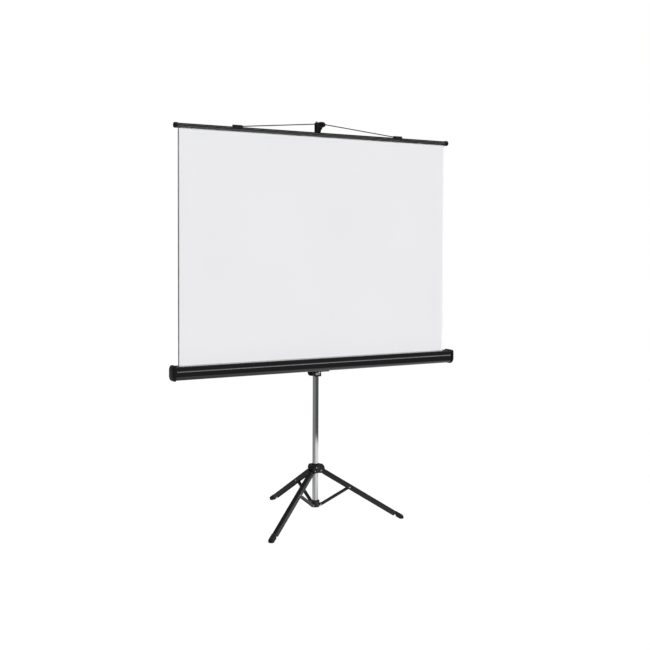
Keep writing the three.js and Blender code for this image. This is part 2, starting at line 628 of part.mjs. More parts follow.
// Hollow case, creased along its front, with a lipped slot along its top for the cloth
function shellGeometry() {
  const half = CASE_LENGTH / 2;
  const front = CLOTH_Y - SLOT_WIDTH / 2;
  const rear = CLOTH_Y + SLOT_WIDTH / 2;
  const lipLow = CASE_TOP - SLOT_LIP;
  const lipHigh = CASE_TOP - CASE_WALL / 2;
  const hollow = alongX(caseShape(CASE_WALL, false), -CASE_LENGTH, CASE_LENGTH);
  const slot = box(-CASE_LENGTH, CASE_LENGTH, front, rear, lipLow, CASE_TOP + CASE_WALL);
  const lips = [box(-half, half, front - CASE_WALL, front, lipLow, lipHigh),
    box(-half, half, rear, rear + CASE_WALL, lipLow, lipHigh)];
  const holes = [-1, 1].map((sign) => {
    const hole = layAlongY(disc(CARRIER_SCREW_R + CLEAR, CASE_BACK_Y - 2 * CASE_WALL, 0, PIN_STEPS));
    return hole.translate(sign * CARRIER_SCREW_X, 0, CASE_BOTTOM + CARRIER_SCREW_RISE);
  });
  const walls = cut(solidOf(alongX(caseShape(0, true), -half, half)), hollow, slot);
  return geometryOf(cut(lips.reduce((sum, lip) => sum.add(solidOf(lip)), walls), ...holes));
}

// Outline in (y, z) carried along x through rings of [x, share of the outline], with x rising,
// closed at both ends
function loftAlongX(shape, rings) {
  const outline = distinct(shape.extractPoints(ARC_STEPS).shape);
  const centre = new THREE.Box2().setFromPoints(outline).getCenter(new THREE.Vector2());
  const count = outline.length;
  const positions = [];
  const corners = [];
  rings.forEach(([x, share], i) => {
    for (const point of outline) {
      const { x: y, y: z } = point.clone().lerp(centre, 1 - share);
      positions.push(x, y, z);
    }
    if (i === 0) return;
    for (let j = 0; j < count; j += 1) {
      const [a, b] = [(i - 1) * count + j, (i - 1) * count + (j + 1) % count];
      corners.push(a, b, b + count, a, b + count, a + count);
    }
  });
  const last = (rings.length - 1) * count;
  for (let j = 1; j < count - 1; j += 1) corners.push(0, j + 1, j, last, last + j, last + j + 1);
  const geometry = new THREE.BufferGeometry();
  geometry.setAttribute('position', new THREE.Float32BufferAttribute(positions, 3));
  geometry.setIndex(corners);
  return geometry;
}

// Domed end cap on the side given by `sign`, with a boss that holds a roller pin
function capGeometry(sign) {
  const inner = CASE_LENGTH / 2 + CLEAR;
  const outer = inner + CAP_LENGTH;
  const span = (from, to) => [sign * from, sign * to].sort((low, high) => low - high);
  const onAxis = (geometry) => layAlongX(geometry).translate(0, ROLLER_Y, ROLLER_Z);
  const rings = [[sign * inner, 1]];
  for (let i = 0; i <= CAP_ROUND_STEPS; i += 1) {
    const angle = (Math.PI / 2) * (i / CAP_ROUND_STEPS);
    const x = outer - CAP_ROUND * (1 - Math.sin(angle));
    rings.push([sign * x, 1 - (1 - CAP_NOSE) * (1 - Math.cos(angle))]);
  }
  rings.sort(([first], [second]) => first - second);
  const body = solidOf(loftAlongX(caseShape(-CAP_LAP, false), rings));
  const boss = onAxis(disc(CAP_BOSS_R, ...span(inner - CAP_BOSS_LENGTH, inner + OVERCUT)));
  const socket = onAxis(disc(PIN_R + CLEAR, ...span(inner - 2 * CAP_BOSS_LENGTH, inner + PIN_BITE + CLEAR)));
  return geometryOf(cut(body.add(solidOf(boss)), socket));
}

function addCase() {
  place(part, 'case_shell', shellGeometry(), BLACK_PAINT);
  place(part, 'case_cap_left', capGeometry(-1), BLACK_PLASTIC);
  place(part, 'case_cap_right', capGeometry(1), BLACK_PLASTIC);
}

// Spring roller in the case, with the cloth that is left on it
function addRoller() {
  const roller = new THREE.Group();
  roller.position.set(0, ROLLER_Y, ROLLER_Z);
  const bore = ROLLER_R - ROLLER_WALL;
  place(roller, 'roller_tube', layAlongX(ring(bore, ROLLER_R, -ROLLER_HALF, ROLLER_HALF)), STEEL);
  const half = SCREEN_WIDTH / 2;
  place(roller, 'fabric_roll', layAlongX(ring(ROLLER_R + CLEAR, ROLL_R, -half, half)), CLOTH);
  const hole = PIN_R + CLEAR;
  const plugR = bore - CLEAR;
  const end = ROLLER_HALF + CLEAR;
  const start = ROLLER_HALF - ROLLER_PLUG_LENGTH;
  const flange = end + ROLLER_FLANGE_T;
  const plug = [[hole, start], [plugR, start], [plugR, end], [ROLLER_R, end], [ROLLER_R, flange],
    [hole, flange], [hole, start]];
  place(roller, 'roller_plug_right', layAlongX(turned(plug)), BLACK_PLASTIC);
  place(roller, 'roller_plug_left', layAlongX(turned(plug)).rotateZ(Math.PI), BLACK_PLASTIC);
  const gudgeon = disc(PIN_R, ROLLER_HALF - GUDGEON_REACH, PIN_TIP, PIN_STEPS);
  place(roller, 'roller_gudgeon', layAlongX(gudgeon), STEEL);
  const arbor = disc(PIN_R, -PIN_TIP, -ROLLER_HALF + ARBOR_REACH, PIN_STEPS);
  place(roller, 'spring_arbor', layAlongX(arbor), STEEL);
  const springStart = -ROLLER_HALF + ROLLER_PLUG_LENGTH + CLEAR;
  const spring = ring(hole, hole + SPRING_WALL, springStart, springStart + SPRING_LENGTH, PIN_STEPS);
  place(roller, 'roller_spring', layAlongX(spring), STEEL);
  part.add(roller);
  const [clothFront, clothBack] = [CLOTH_Y - CLOTH_T / 2, CLOTH_Y + CLOTH_T / 2];
  const cloth = box(-half, half, clothFront, clothBack, ROLLER_Z, SPLINE_Z - SPLINE_R - CLEAR);
  place(part, 'screen_fabric', cloth, CLOTH);
}

// Saddle clip that grips the hanging wire on top of the bar, outline in (y, z) about the bar's axis
function clipShape() {
  const inner = BAR_R + CLEAR;
  const outer = inner + CLIP_WALL;
  const hole = WIRE_R + CLEAR;
  const half = hole + CLIP_BOSS_WALL;
  const corner = half - CLIP_BOSS_WALL;
  const boss = Math.acos(half / outer);
  const shape = new THREE.Shape();
  shape.moveTo(outer * Math.cos(CLIP_FOOT), outer * Math.sin(CLIP_FOOT));
  shape.absarc(0, 0, outer, CLIP_FOOT, boss);
  shape.absarc(corner, WIRE_CLIP_Z + hole, CLIP_BOSS_WALL, 0, Math.PI / 2);
  shape.absarc(-corner, WIRE_CLIP_Z + hole, CLIP_BOSS_WALL, Math.PI / 2, Math.PI);
  shape.absarc(0, 0, outer, Math.PI - boss, Math.PI - CLIP_FOOT);
  shape.absarc(0, 0, inner, Math.PI - CLIP_FOOT, CLIP_FOOT, true);
  shape.holes.push(new THREE.Path().absarc(0, WIRE_CLIP_Z, hole, 0, 2 * Math.PI));
  return shape;
}

function wireGeometry() {
  const clip = BAR_Z + WIRE_CLIP_Z;
  const hook = BAR_Z + WIRE_HOOK_Z;
  const bend = WIRE_BEND;
  const side = [[CLIP_INNER + WIRE_TAIL, clip], [CLIP_INNER, clip],
    [CLIP_INNER - bend, clip + WIRE_SLOPE * bend], [bend, hook - WIRE_SLOPE * bend]];
  const points = [...side.map(([x, z]) => [-x, z]), [0, hook], ...side.reverse()];
  const path = new THREE.CatmullRomCurve3(points.map(([x, z]) => new THREE.Vector3(x, CLOTH_Y, z)));
  const round = new THREE.Shape().absarc(0, 0, WIRE_R, 0, 2 * Math.PI);
  return extrude(round, 1, { steps: WIRE_STEPS, extrudePath: path });
}

function addTopBar() {
  const bar = new THREE.Shape();
  const open = Math.asin(BAR_SLOT / 2 / BAR_R);
  const inner = BAR_R - BAR_WALL;
  const openIn = Math.asin(BAR_SLOT / 2 / inner);
  const low = -Math.PI / 2;
  bar.absarc(0, 0, BAR_R, low + open, low + 2 * Math.PI - open);
  bar.absarc(0, 0, inner, low + 2 * Math.PI - openIn, low + openIn, true);
  const axis = new THREE.Group();
  axis.position.set(0, CLOTH_Y, BAR_Z);
  place(axis, 'top_bar', alongX(bar, -BAR_HALF, BAR_HALF, { curveSegments: ROUND_STEPS / 2 }), BLACK_PAINT);
  const plugR = inner - CLEAR;
  const plugBottom = BAR_HALF - KNOB_PLUG;
  const seat = BAR_HALF + CLEAR;
  const end = seat + KNOB_LENGTH;
  const knob = [[0, plugBottom], [plugR, plugBottom], [plugR, seat], [KNOB_R - KNOB_LIP, seat],
    [KNOB_R, seat + KNOB_LIP]];
  for (let i = 0; i <= KNOB_ROUND_STEPS; i += 1) {
    const angle = (Math.PI / 2) * (i / KNOB_ROUND_STEPS);
    knob.push([KNOB_R - KNOB_ROUND * (1 - Math.cos(angle)), end - KNOB_ROUND * (1 - Math.sin(angle))]);
  }
  knob.push([0, end]);
  const room = SPLINE_R + CLEAR;
  const splineRoom = box(-BAR_HALF, BAR_HALF, -room, room, -BAR_R, SPLINE_Z - BAR_Z + room);
  const knobSolid = cut(solidOf(layAlongX(turned(knob))), splineRoom);
  place(axis, 'bar_knob_right', geometryOf(knobSolid), BLACK_PLASTIC);
  place(axis, 'bar_knob_left', geometryOf(knobSolid).rotateZ(Math.PI), BLACK_PLASTIC);
  const clipEnd = CLIP_INNER + CLIP_LENGTH;
  const fine = { curveSegments: 2 * ARC_STEPS };
  place(axis, 'wire_clip_right', alongX(clipShape(), CLIP_INNER, clipEnd, fine), BLACK_PLASTIC);
  place(axis, 'wire_clip_left', alongX(clipShape(), -clipEnd, -CLIP_INNER, fine), BLACK_PLASTIC);
  part.add(axis);
  const spline = layAlongX(disc(SPLINE_R, -SCREEN_WIDTH / 2, SCREEN_WIDTH / 2, PIN_STEPS));
  place(part, 'fabric_spline', spline.translate(0, CLOTH_Y, SPLINE_Z), NYLON);
  place(part, 'hanging_wire', wireGeometry(), STEEL);
}

// Hook plate on the rod's head, outline in (y, z): y from the column's axis, z from the bar's axis
function hookShape() {
  const slotHalf = WIRE_R + 2 * CLEAR;
  const slotFloor = WIRE_HOOK_Z - WIRE_SLOPE * HANGER_HALF - WIRE_R - CLEAR;
  const behind = CLOTH_Y + slotHalf;
  const ahead = CLOTH_Y - slotHalf;
  const tip = CLOTH_Y - HOOK_BEAK;
  const throat = WIRE_HOOK_Z - HOOK_THROAT;
  const shape = new THREE.Shape();
  shape.moveTo(0, HANGER_TOP);
  shape.lineTo(0, HOOK_FOOT);
  shape.lineTo(-HOOK_NECK, HOOK_FOOT);
  shape.quadraticCurveTo(CLOTH_Y + 3 * HOOK_TOOTH_HALF, HOOK_FOOT, CLOTH_Y + 2 * HOOK_TOOTH_HALF, throat);
  shape.lineTo(CLOTH_Y + HOOK_TOOTH_HALF, throat - HOOK_TOOTH);
  shape.lineTo(CLOTH_Y, throat);
  shape.quadraticCurveTo(tip, throat, tip, WIRE_HOOK_Z - HOOK_BEAK_DROP);
  shape.quadraticCurveTo(CLOTH_Y - HOOK_BROW, HANGER_TOP, ahead, HANGER_TOP);
  shape.lineTo(ahead, slotFloor);
  shape.lineTo(behind, slotFloor);
  shape.lineTo(behind, HANGER_TOP);
  return shape;
}

function addExtension() {
  place(part, 'extension_rod', ring(ROD_R - ROD_WALL, ROD_R, ROD_BOTTOM, ROD_TOP), CHROME);
  const bushOuter = COLUMN_R - COLUMN_WALL - CLEAR;
  place(part, 'rod_bush', ring(ROD_R + CLEAR, bushOuter, ROD_BOTTOM, ROD_BOTTOM + ROD_BUSH_LENGTH), NYLON);
  const head = new THREE.Group();
  head.position.z = BAR_Z;
  const rodTop = ROD_TOP - BAR_Z;
  const sleeve = disc(HANGER_R, -HANGER_DROP, HANGER_TOP);
  const hook = alongX(hookShape(), -HANGER_HALF, HANGER_HALF);
  const bore = disc(ROD_R + CLEAR, -HANGER_DROP - OVERCUT, rodTop + CLEAR);
  place(head, 'hanger_hook', geometryOf(cut(join(sleeve, hook), bore)), BLACK_PLASTIC);
  const seat = HANGER_TOP + CLEAR;
  const button = [[0, seat], ...dome(HANGER_CAP_R, HANGER_CAP_H, seat)];
  place(head, 'hanger_cap', turned(button), STEEL);
  part.add(head);
}

// Bracket that carries the case on the column, with the yoke of the height lock under it
function carrierGeometry() {
  const top = CASE_BOTTOM + CARRIER_TOP;
  const bottom = CASE_BOTTOM - CARRIER_SKIRT;
  const plateBack = CASE_BACK_Y + CLEAR;
  const lipFront = CASE_BACK_Y - CARRIER_LIP;
  const low = CASE_BOTTOM - YOKE_DROP;
  const window = YOKE_HALF - YOKE_BAR;
  const yoke = rectangle(-YOKE_HALF, YOKE_HALF, low, CASE_BOTTOM + LEVER_EAR_R);
  yoke.holes.push(rectangle(-window, window, low + YOKE_BAR, CARRIER_FLOOR - YOKE_BAR / 2));
  const ear = new THREE.Shape();
  ear.moveTo(-LEVER_PIN_X - LEVER_EAR_R, LEVER_PIN_Z);
  ear.absarc(-LEVER_PIN_X, LEVER_PIN_Z, LEVER_EAR_R, Math.PI, 2 * Math.PI);
  ear.lineTo(0, CASE_BOTTOM);
  ear.lineTo(0, CASE_BOTTOM + LEVER_EAR_R);
  ear.lineTo(-LEVER_PIN_X - LEVER_EAR_R, CASE_BOTTOM + LEVER_EAR_R);
  const earIn = LEVER_HALF + CLEAR;
  const earOut = earIn + LEVER_EAR_T;
  const solid = join(
    box(-CARRIER_HALF, CARRIER_HALF, plateBack, PLATE_Y, CARRIER_FLOOR, top),
    box(-CARRIER_HALF, CARRIER_HALF, lipFront, PLATE_Y, CARRIER_FLOOR, CASE_BOTTOM - CLEAR),
    box(-CARRIER_WEB_HALF, CARRIER_WEB_HALF, plateBack, 0, CASE_BOTTOM, top),
    disc(CARRIER_SLEEVE_R, bottom, top),
    alongY(yoke, -LEVER_SET - earOut, -LEVER_SET - earIn),
    alongY(ear, -LEVER_SET - earOut, -LEVER_SET - earIn),
    alongY(ear, -LEVER_SET + earIn, -LEVER_SET + earOut),
  );
  const tools = [disc(CARRIER_BORE, low, top + OVERCUT)];
  for (const sign of [-1, 1]) {
    const screw = layAlongY(disc(CARRIER_SCREW_R + CLEAR, plateBack - OVERCUT, PLATE_Y + OVERCUT, PIN_STEPS));
    tools.push(screw.translate(sign * CARRIER_SCREW_X, 0, CASE_BOTTOM + CARRIER_SCREW_RISE));
  }
  const pin = layAlongY(disc(LEVER_PIN_R + CLEAR, -2 * earOut, 2 * earOut, PIN_STEPS));
  tools.push(pin.translate(-LEVER_PIN_X, -LEVER_SET, LEVER_PIN_Z));
  return geometryOf(cut(solid, ...tools));
}

// Chrome lock plate: an oval eye on the column, a tab bent down in front and a tongue for the lever
function lockPlateGeometry() {
  const low = LOCK_Z - LOCK_PLATE_T / 2;
  const high = LOCK_Z + LOCK_PLATE_T / 2;
  const holeX = COLUMN_R + LOCK_PLAY_X;
  const holeY = COLUMN_R + LOCK_PLAY;
  const tabFront = -LEVER_SET - LEVER_HALF;
  const eye = new THREE.Shape().absellipse(0, 0, holeX + LOCK_RIM, holeY + LOCK_RIM, 0, 2 * Math.PI);
  const hole = new THREE.Shape().absellipse(0, 0, holeX, holeY, 0, 2 * Math.PI);
  const tongueRoot = LOCK_RIM - LOCK_TAB_HALF;
  const tongueEnd = -LOCK_TAB_HALF - LOCK_TONGUE;
  const tongueFront = -LEVER_SET - LOCK_TONGUE_HALF;
  const solid = join(
    alongZ(eye, low, high, { curveSegments: ROUND_STEPS / 2 }),
    box(-LOCK_TAB_HALF, LOCK_TAB_HALF, tabFront, -holeY, low, high),
    box(-LOCK_TAB_HALF, LOCK_TAB_HALF, tabFront, tabFront + LOCK_PLATE_T, high - LOCK_TAB_DROP, high),
    box(tongueEnd, tongueRoot, tongueFront, tongueFront + 2 * LOCK_TONGUE_HALF, low, high),
  );
  const eyeHole = alongZ(hole, low - OVERCUT, high + OVERCUT, { curveSegments: ROUND_STEPS / 2 });
  return geometryOf(cut(solid, eyeHole));
}

// Lever with a rounded paddle, notched for the lock plate's tongue
function leverGeometry() {
  const right = -LOCK_TAB_HALF - LOCK_RIM / 2;
  const top = LEVER_PIN_Z + LEVER_EAR_R - CLEAR;
  const low = CASE_BOTTOM - YOKE_DROP + YOKE_BAR;
  const outline = new THREE.Shape();
  outline.moveTo(right, top);
  outline.lineTo(-LEVER_REACH, top);
  outline.absarc(LEVER_TOE_R - LEVER_REACH, low + LEVER_TOE_R, LEVER_TOE_R, Math.PI, 1.5 * Math.PI);
  outline.lineTo(right, low);
  const notchTop = LOCK_Z + LOCK_PLATE_T / 2 + CLEAR;
  const notchLow = LOCK_Z - LOCK_PLATE_T / 2 - CLEAR;
  const notchEnd = -LOCK_TAB_HALF - LOCK_TONGUE - CLEAR;
  const front = -LEVER_SET - LEVER_HALF;
  const back = -LEVER_SET + LEVER_HALF;
  const pin = layAlongY(disc(LEVER_PIN_R + CLEAR, front - OVERCUT, back + OVERCUT, PIN_STEPS));
  const tools = [
    box(notchEnd, right + OVERCUT, front - OVERCUT, back + OVERCUT, notchLow, notchTop),
    pin.translate(-LEVER_PIN_X, 0, LEVER_PIN_Z),
  ];
  return geometryOf(cut(solidOf(alongY(outline, front, back)), ...tools));
}

function addCarrier() {
  const top = CASE_BOTTOM + CARRIER_TOP;
  const bottom = CASE_BOTTOM - CARRIER_SKIRT;
  const inner = COLUMN_R + CLEAR;
  const flange = CARRIER_SLEEVE_R - BUSH_SETBACK;
  const flangeTop = top + CLEAR;
  const bush = [[inner, bottom], [BUSH_R, bottom], [BUSH_R, flangeTop], [flange, flangeTop],
    [flange, flangeTop + BUSH_FLANGE], [inner, flangeTop + BUSH_FLANGE], [inner, bottom]];
  place(part, 'carrier_bush', turned(bush), BLACK_PLASTIC);
  place(part, 'case_carrier', carrierGeometry(), BLACK_PLASTIC);
  for (const [name, sign] of [['carrier_screw_left', -1], ['carrier_screw_right', 1]]) {
    const screw = radialScrew(CARRIER_SCREW_R, CARRIER_SCREW_HEAD_R, CARRIER_SCREW_HEAD_H,
      CASE_BACK_Y - CARRIER_SCREW_BITE, PLATE_Y + CLEAR).rotateZ(Math.PI / 2);
    const mesh = place(part, name, screw, STEEL);
    mesh.position.set(sign * CARRIER_SCREW_X, 0, CASE_BOTTOM + CARRIER_SCREW_RISE);
  }
  place(part, 'lock_plate', lockPlateGeometry(), CHROME);
  place(part, 'height_lever', leverGeometry(), BLACK_PLASTIC);
  const reach = LEVER_HALF + CLEAR + LEVER_EAR_T;
  const pin = layAlongY(disc(LEVER_PIN_R, -reach, reach, PIN_STEPS))
    .translate(-LEVER_PIN_X, -LEVER_SET, LEVER_PIN_Z);
  place(part, 'lever_pin', pin, STEEL);
}

addTripod();
addColumnTop();
addCase();
addRoller();
addTopBar();
addExtension();
addCarrier();

// The origin is on the floor, under the middle of the whole screen
const bounds = new THREE.Box3().setFromObject(part, true);
const middle = bounds.getCenter(new THREE.Vector3());
part.position.set(-middle.x, -middle.y, -bounds.min.z);
part.updateMatrixWorld(true);

export default part;
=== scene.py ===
"""Looks of a tripod projection screen: fine surfaces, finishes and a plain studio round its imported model."""

import json
import math

import bmesh
import bpy
import numpy as np
from bpy.props import FloatProperty, FloatVectorProperty, PointerProperty
from mathutils import Matrix, Vector


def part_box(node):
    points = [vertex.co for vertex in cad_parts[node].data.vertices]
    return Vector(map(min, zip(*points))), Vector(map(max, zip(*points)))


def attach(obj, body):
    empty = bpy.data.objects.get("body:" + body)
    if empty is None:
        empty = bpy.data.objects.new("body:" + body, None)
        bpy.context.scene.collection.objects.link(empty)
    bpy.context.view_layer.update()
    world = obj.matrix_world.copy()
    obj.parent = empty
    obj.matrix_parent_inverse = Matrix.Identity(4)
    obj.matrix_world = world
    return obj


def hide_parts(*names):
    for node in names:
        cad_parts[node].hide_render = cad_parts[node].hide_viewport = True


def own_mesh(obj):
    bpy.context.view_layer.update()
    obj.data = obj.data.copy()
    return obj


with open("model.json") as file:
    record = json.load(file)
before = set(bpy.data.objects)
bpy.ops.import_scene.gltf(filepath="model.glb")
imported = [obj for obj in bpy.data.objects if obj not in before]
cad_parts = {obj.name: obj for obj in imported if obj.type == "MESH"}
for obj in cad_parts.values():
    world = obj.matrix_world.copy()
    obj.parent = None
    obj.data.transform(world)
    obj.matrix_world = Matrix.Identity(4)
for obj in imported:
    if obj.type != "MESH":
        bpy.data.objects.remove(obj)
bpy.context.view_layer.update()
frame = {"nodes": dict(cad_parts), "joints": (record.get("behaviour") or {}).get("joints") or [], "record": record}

bl_info = {
    "name": "Tripod projection screen",
    "version": (1, 0, 0),
    "blender": (4, 5, 0),
    "location": "3D View > Sidebar > Screen",
    "description": "Builds the pieces, finishes and studio of a tripod projection screen",
    "category": "Object",
}

MM = 0.001
BODY_OF = {node: body for body, nodes in frame["record"]["behaviour"]["bodies"].items() for node in nodes}
JOINTS = {joint["name"]: joint for joint in frame["joints"]}
LEGS = (1, 2, 3)
SIDES = {"left": -1, "right": 1}  # sense of each side along x
X_AXIS, Y_AXIS, Z_AXIS = np.eye(3)
QUARTER = math.pi / 2
WELD = 1e-6  # points closer than this, in metres, are one
GAP = 0.3 * MM  # room between touching pieces

# Sizes of the stand
COLUMN_WALL = 1.5 * MM
ROD_WALL = 1.2 * MM
TUBE_EDGE = 0.3 * MM
BUSH_EDGE = 0.5 * MM
COLUMN_BORE = 15.3 * MM  # bore of the collar round the column
ROD_BORE = 9.3 * MM  # bore of the collar and the bush round the rod
COLLAR_CHAMFER = 3 * MM
COLLAR_ROUNDS = np.array([0.3, 1.0, 1.2, 1.2, 0.5, 0.2, 0.2]) * MM
LEG_SHEET = 1.6 * MM  # sheet of the legs
SHEET = 1.5 * MM  # sheet of the struts, the case and the bar
EAR = 13 * MM  # from a pin to where the web of a leg or strut begins
LEG_TAPER = 26 * MM  # from the hub pin to the leg's full height
LEG_CORNER = 9 * MM  # rounding of a leg's lower end
LEG_BEND = 3 * MM
STRUT_BEND = 2.4 * MM
FOOT_NOTCH = 7 * MM  # notch under a foot's neck
FOOT_NECK = 5 * MM
FOOT_SHOULDER = 2 * MM
FOOT_CORNER = 3 * MM
FOOT_TUCK = 4 * MM  # how far the toe's sides draw in
RIVET_HEAD = 2.4 * MM
RIVET_SHANK = 0.57  # shank of a rivet, as a share of its head
SCREW_HEAD = 3 * MM
SLOT_HALF = 0.16  # slot of a screw, as a share of its head's radius
SLOT_FLOOR = 0.5  # bottom of the slot, as a share of the head's height
HUB_SCREW = (2.2 * MM, 4.6 * MM)  # radii of its shank and head
CARRIER_SCREW = (2.3 * MM, 4.4 * MM)
CLAMP_STUD = 3 * MM  # radius of the clamp's screw
LEVER_PIN = 2.5 * MM
PIN_EDGE = 0.4 * MM
KNOB_EDGE = 1.6 * MM
KNOB_LOBES = 6
LOBE_DEPTH = 0.058  # as a share of the knob's radius

# Sizes of the case, the bar and the wire
CASE_ROUNDS = np.array([5.0, 22.0, 12.0, 12.0]) * MM  # front top, front bottom, back bottom, back top
CREASE_DROP = 23.5 * MM  # front crease below the top of the case
CREASE_HALF = 2.8 * MM
CREASE_DEPTH = 1.6 * MM
CREASE_ROUNDS = np.array([0.6, 0.3, 0.6]) * MM
CASE_LIP = 6 * MM  # lips of the slot, bent down
CASE_SLOT = 5 * MM  # half the slot
LIP_ROUNDS = np.array([1.6, 0.8]) * MM  # bends of the front and the rear lip
CAP_DOME = 16 * MM  # depth of an end cap's rounding
CAP_NOSE = 0.35  # flat nose of an end cap, as a share of it
CAP_LIP = 0.5 * MM
CAP_BOSS = (5.3 * MM, 9 * MM)  # bore and radius of the boss for the roller's pin
BOSS_EDGE = 0.6 * MM
ROLL_TURNS = 2
ROLL_PITCH = 0.58 * MM  # growth of the roll's radius in a turn
ROLL_CLOTH = 0.5 * MM
CLOTH_CURL = 1.2 * MM  # how far the cloth's side edges curl back
CURL_SHARE = 0.015  # width of the curl, as a share of half the cloth
CLOTH_WAVES = ((0.55, 5.2, 1.1, 0.0), (0.3, 9.1, -2.0, 0.7))  # share, half waves across, lean and start
CLOTH_CALM = 0.8  # how fast the waves die away at the slot and the bar
CLOUDING = 0.985  # the cloth's darkest tone, as a share of its colour
WEAVE_SCALE = 220.0
BAR_SLOT = 1.2 * MM  # half the slot under the bar
BAR_GROOVE = math.radians(16)  # front groove of the bar, below its middle
BAR_GROOVE_HALF = 2.2 * MM
BAR_GROOVE_DEPTH = 1.66 * MM
KNOB_PLUG = (6.4 * MM, 16 * MM)  # radius and length of an end knob's plug
KNOB_ROUNDS = np.array([0, 0.5, 0.2, 1.2, 5.0, 0]) * MM
WIRE_COAT = 0.3 * MM  # coat on the hanging wire
CLIP_BEND = 250 * MM  # easy bend of the wire at a clip
HOOK_BEND = 60 * MM
WIRE_POINTS = 260
LOCK_PLATE = 3 * MM  # thickness of the lock plate
TAB_LEAN = 3.2 * MM  # lean of its tab

# Rounded edges, in mm, of the pieces that keep their node's solid
FINE_EDGE = 0.4
EDGES = {"lower_collar": 0.8, "leg_hub": 0.9, "wire_clip_left": 0.7, "wire_clip_right": 0.7,
         "fabric_spline": 0.3, "hanger_hook": 1.0, "case_carrier": 0.8, "carrier_bush": 0.5,
         "height_lever": 1.6}

# Light
WHITE = (1.0, 1.0, 1.0, 1.0)
KEY_FROM = (2.4, -3.2, 1.9)
KEY_SPREAD = math.radians(44)
STRIP_FROM = (2.3, -2.65, 4.06)
STRIP_TO = (2.3, 0.0, 0.8)
STRIP_SIZE = (4.2, 0.4)
FLOOR_HALF = 30.0  # half the floor's side, in metres
FLOOR_NEAR = ((0.26, 0.26, 0.26, 1.0), (0.80, 0.80, 0.80, 1.0))  # bright sheet, left and right
FLOOR_FAR = ((0.22, 0.225, 0.23, 1.0), (0.09, 0.092, 0.095, 1.0))  # dim room beyond it
FLOOR_BOUNCE = (0.06, 0.06, 0.06, 1.0)  # light that the floor sends up to matt surfaces


# What a user would change


def tint(name, description, *colour):
    """Setting of a colour."""
    return FloatVectorProperty(
        name=name, description=description, subtype="COLOR", size=4, min=0.0, max=1.0, default=(*colour, 1.0))


def measure(name, description, default, **kind):
    """Setting of a number."""
    return FloatProperty(name=name, description=description, default=default, **kind)


class ClothSettings(bpy.types.PropertyGroup):
    """Cloth of the screen."""

    colour: tint("Cloth", "Matt white front of the cloth", 0.86, 0.86, 0.875)
    # Painted shade: a dark line down the cloth's left edge, where its curl faces away from the key light.
    shaded_edge_colour: tint("Shaded edge", "Line along the cloth's left edge", 0.16, 0.16, 0.165)
    edge_width: measure("Edge width", "Width of that line", 4.4 * MM, unit="LENGTH")
    waviness: measure("Waviness", "How far the cloth leaves its plane", 0.9 * MM, unit="LENGTH")


class FinishSettings(bpy.types.PropertyGroup):
    """Metals, paint and mouldings."""

    chrome: tint("Chrome", "Plating of the column", 0.80, 0.81, 0.82)
    steel: tint("Steel", "Rivets, screws and roller", 0.55, 0.55, 0.56)
    paint: tint("Paint", "Case, bar and legs", 0.008, 0.008, 0.0085)
    moulding: tint("Moulding", "Hub, collars and caps", 0.009, 0.009, 0.0095)
    rubber: tint("Rubber", "Feet", 0.013, 0.013, 0.013)
    nylon: tint("Nylon", "Hem cord and rod bush", 0.70, 0.68, 0.62)
    edge: measure("Edges", "Rounding of edges, as a share of the usual", 1.0, subtype="FACTOR")


class StudioSettings(bpy.types.PropertyGroup):
    """Camera, floor and light."""

    eye: FloatVectorProperty(
        name="Camera", description="Camera from the foot of the cloth's plane", subtype="TRANSLATION",
        default=(-2.2991, -4.1770, 1.3843))
    yaw: measure("Yaw", "Turn to the right", math.radians(29.09), subtype="ANGLE")
    pitch: measure("Pitch", "Tilt up", math.radians(-2.233), subtype="ANGLE")
    roll: measure("Roll", "Turn about the line of sight", math.radians(0.247), subtype="ANGLE")
    lens: measure("Lens", "Focal length in mm on a 36 mm sensor", 52.97, unit="CAMERA")
    rise: measure("Shift", "Vertical shift of the frame", -0.0635)
    floor: tint("Floor", "Floor as light falls on it", 0.06, 0.06, 0.06)
    floor_glow: measure("Floor glow", "Evenness of the white floor", 0.98, subtype="FACTOR")
    sheet_radius: measure("Sheet", "Reach of the bright floor in reflections", 1.38, unit="LENGTH")
    key: measure("Key light", "Strength of the front light", 3.74)
    strip: measure("Strip light", "Power of the strip that edges mirror", 24.0, unit="POWER")
    room_low: tint("Room", "Room at eye level", 0.12, 0.12, 0.125)
    room_high: tint("Ceiling", "Room overhead", 0.16, 0.16, 0.165)


# Surfaces worked out on grids


def quads(rows, columns, close_columns=False):
    """Corner numbers of the faces between neighbouring points of a grid, row by row."""
    row = columns * np.arange(rows - 1)[:, None]
    column = np.arange(columns if close_columns else columns - 1)[None, :]
    after = (column + 1) % columns
    corners = (row + column, row + after, row + columns + after, row + columns + column)
    return np.stack(corners, axis=-1).reshape(-1, 4).tolist()


def closed_tube(rings, sides):
    """Faces of a tube of rings, with a face over each end."""
    last = (rings - 1) * sides
    ends = [list(range(sides))[::-1], list(range(last, last + sides))]
    return quads(rings, sides, close_columns=True) + ends


def grid(*parts):
    """Points of a surface, row by row, from its x, y and z spread over one grid."""
    return np.stack(np.broadcast_arrays(*parts), axis=-1).reshape(-1, 3)


def swept(x, y, z):
    """Open section in y and z carried along x."""
    return grid(x[:, None], y, z), quads(len(x), len(y))


def quarter(steps):
    """Angles of a quarter turn."""
    return np.linspace(0.0, QUARTER, steps)


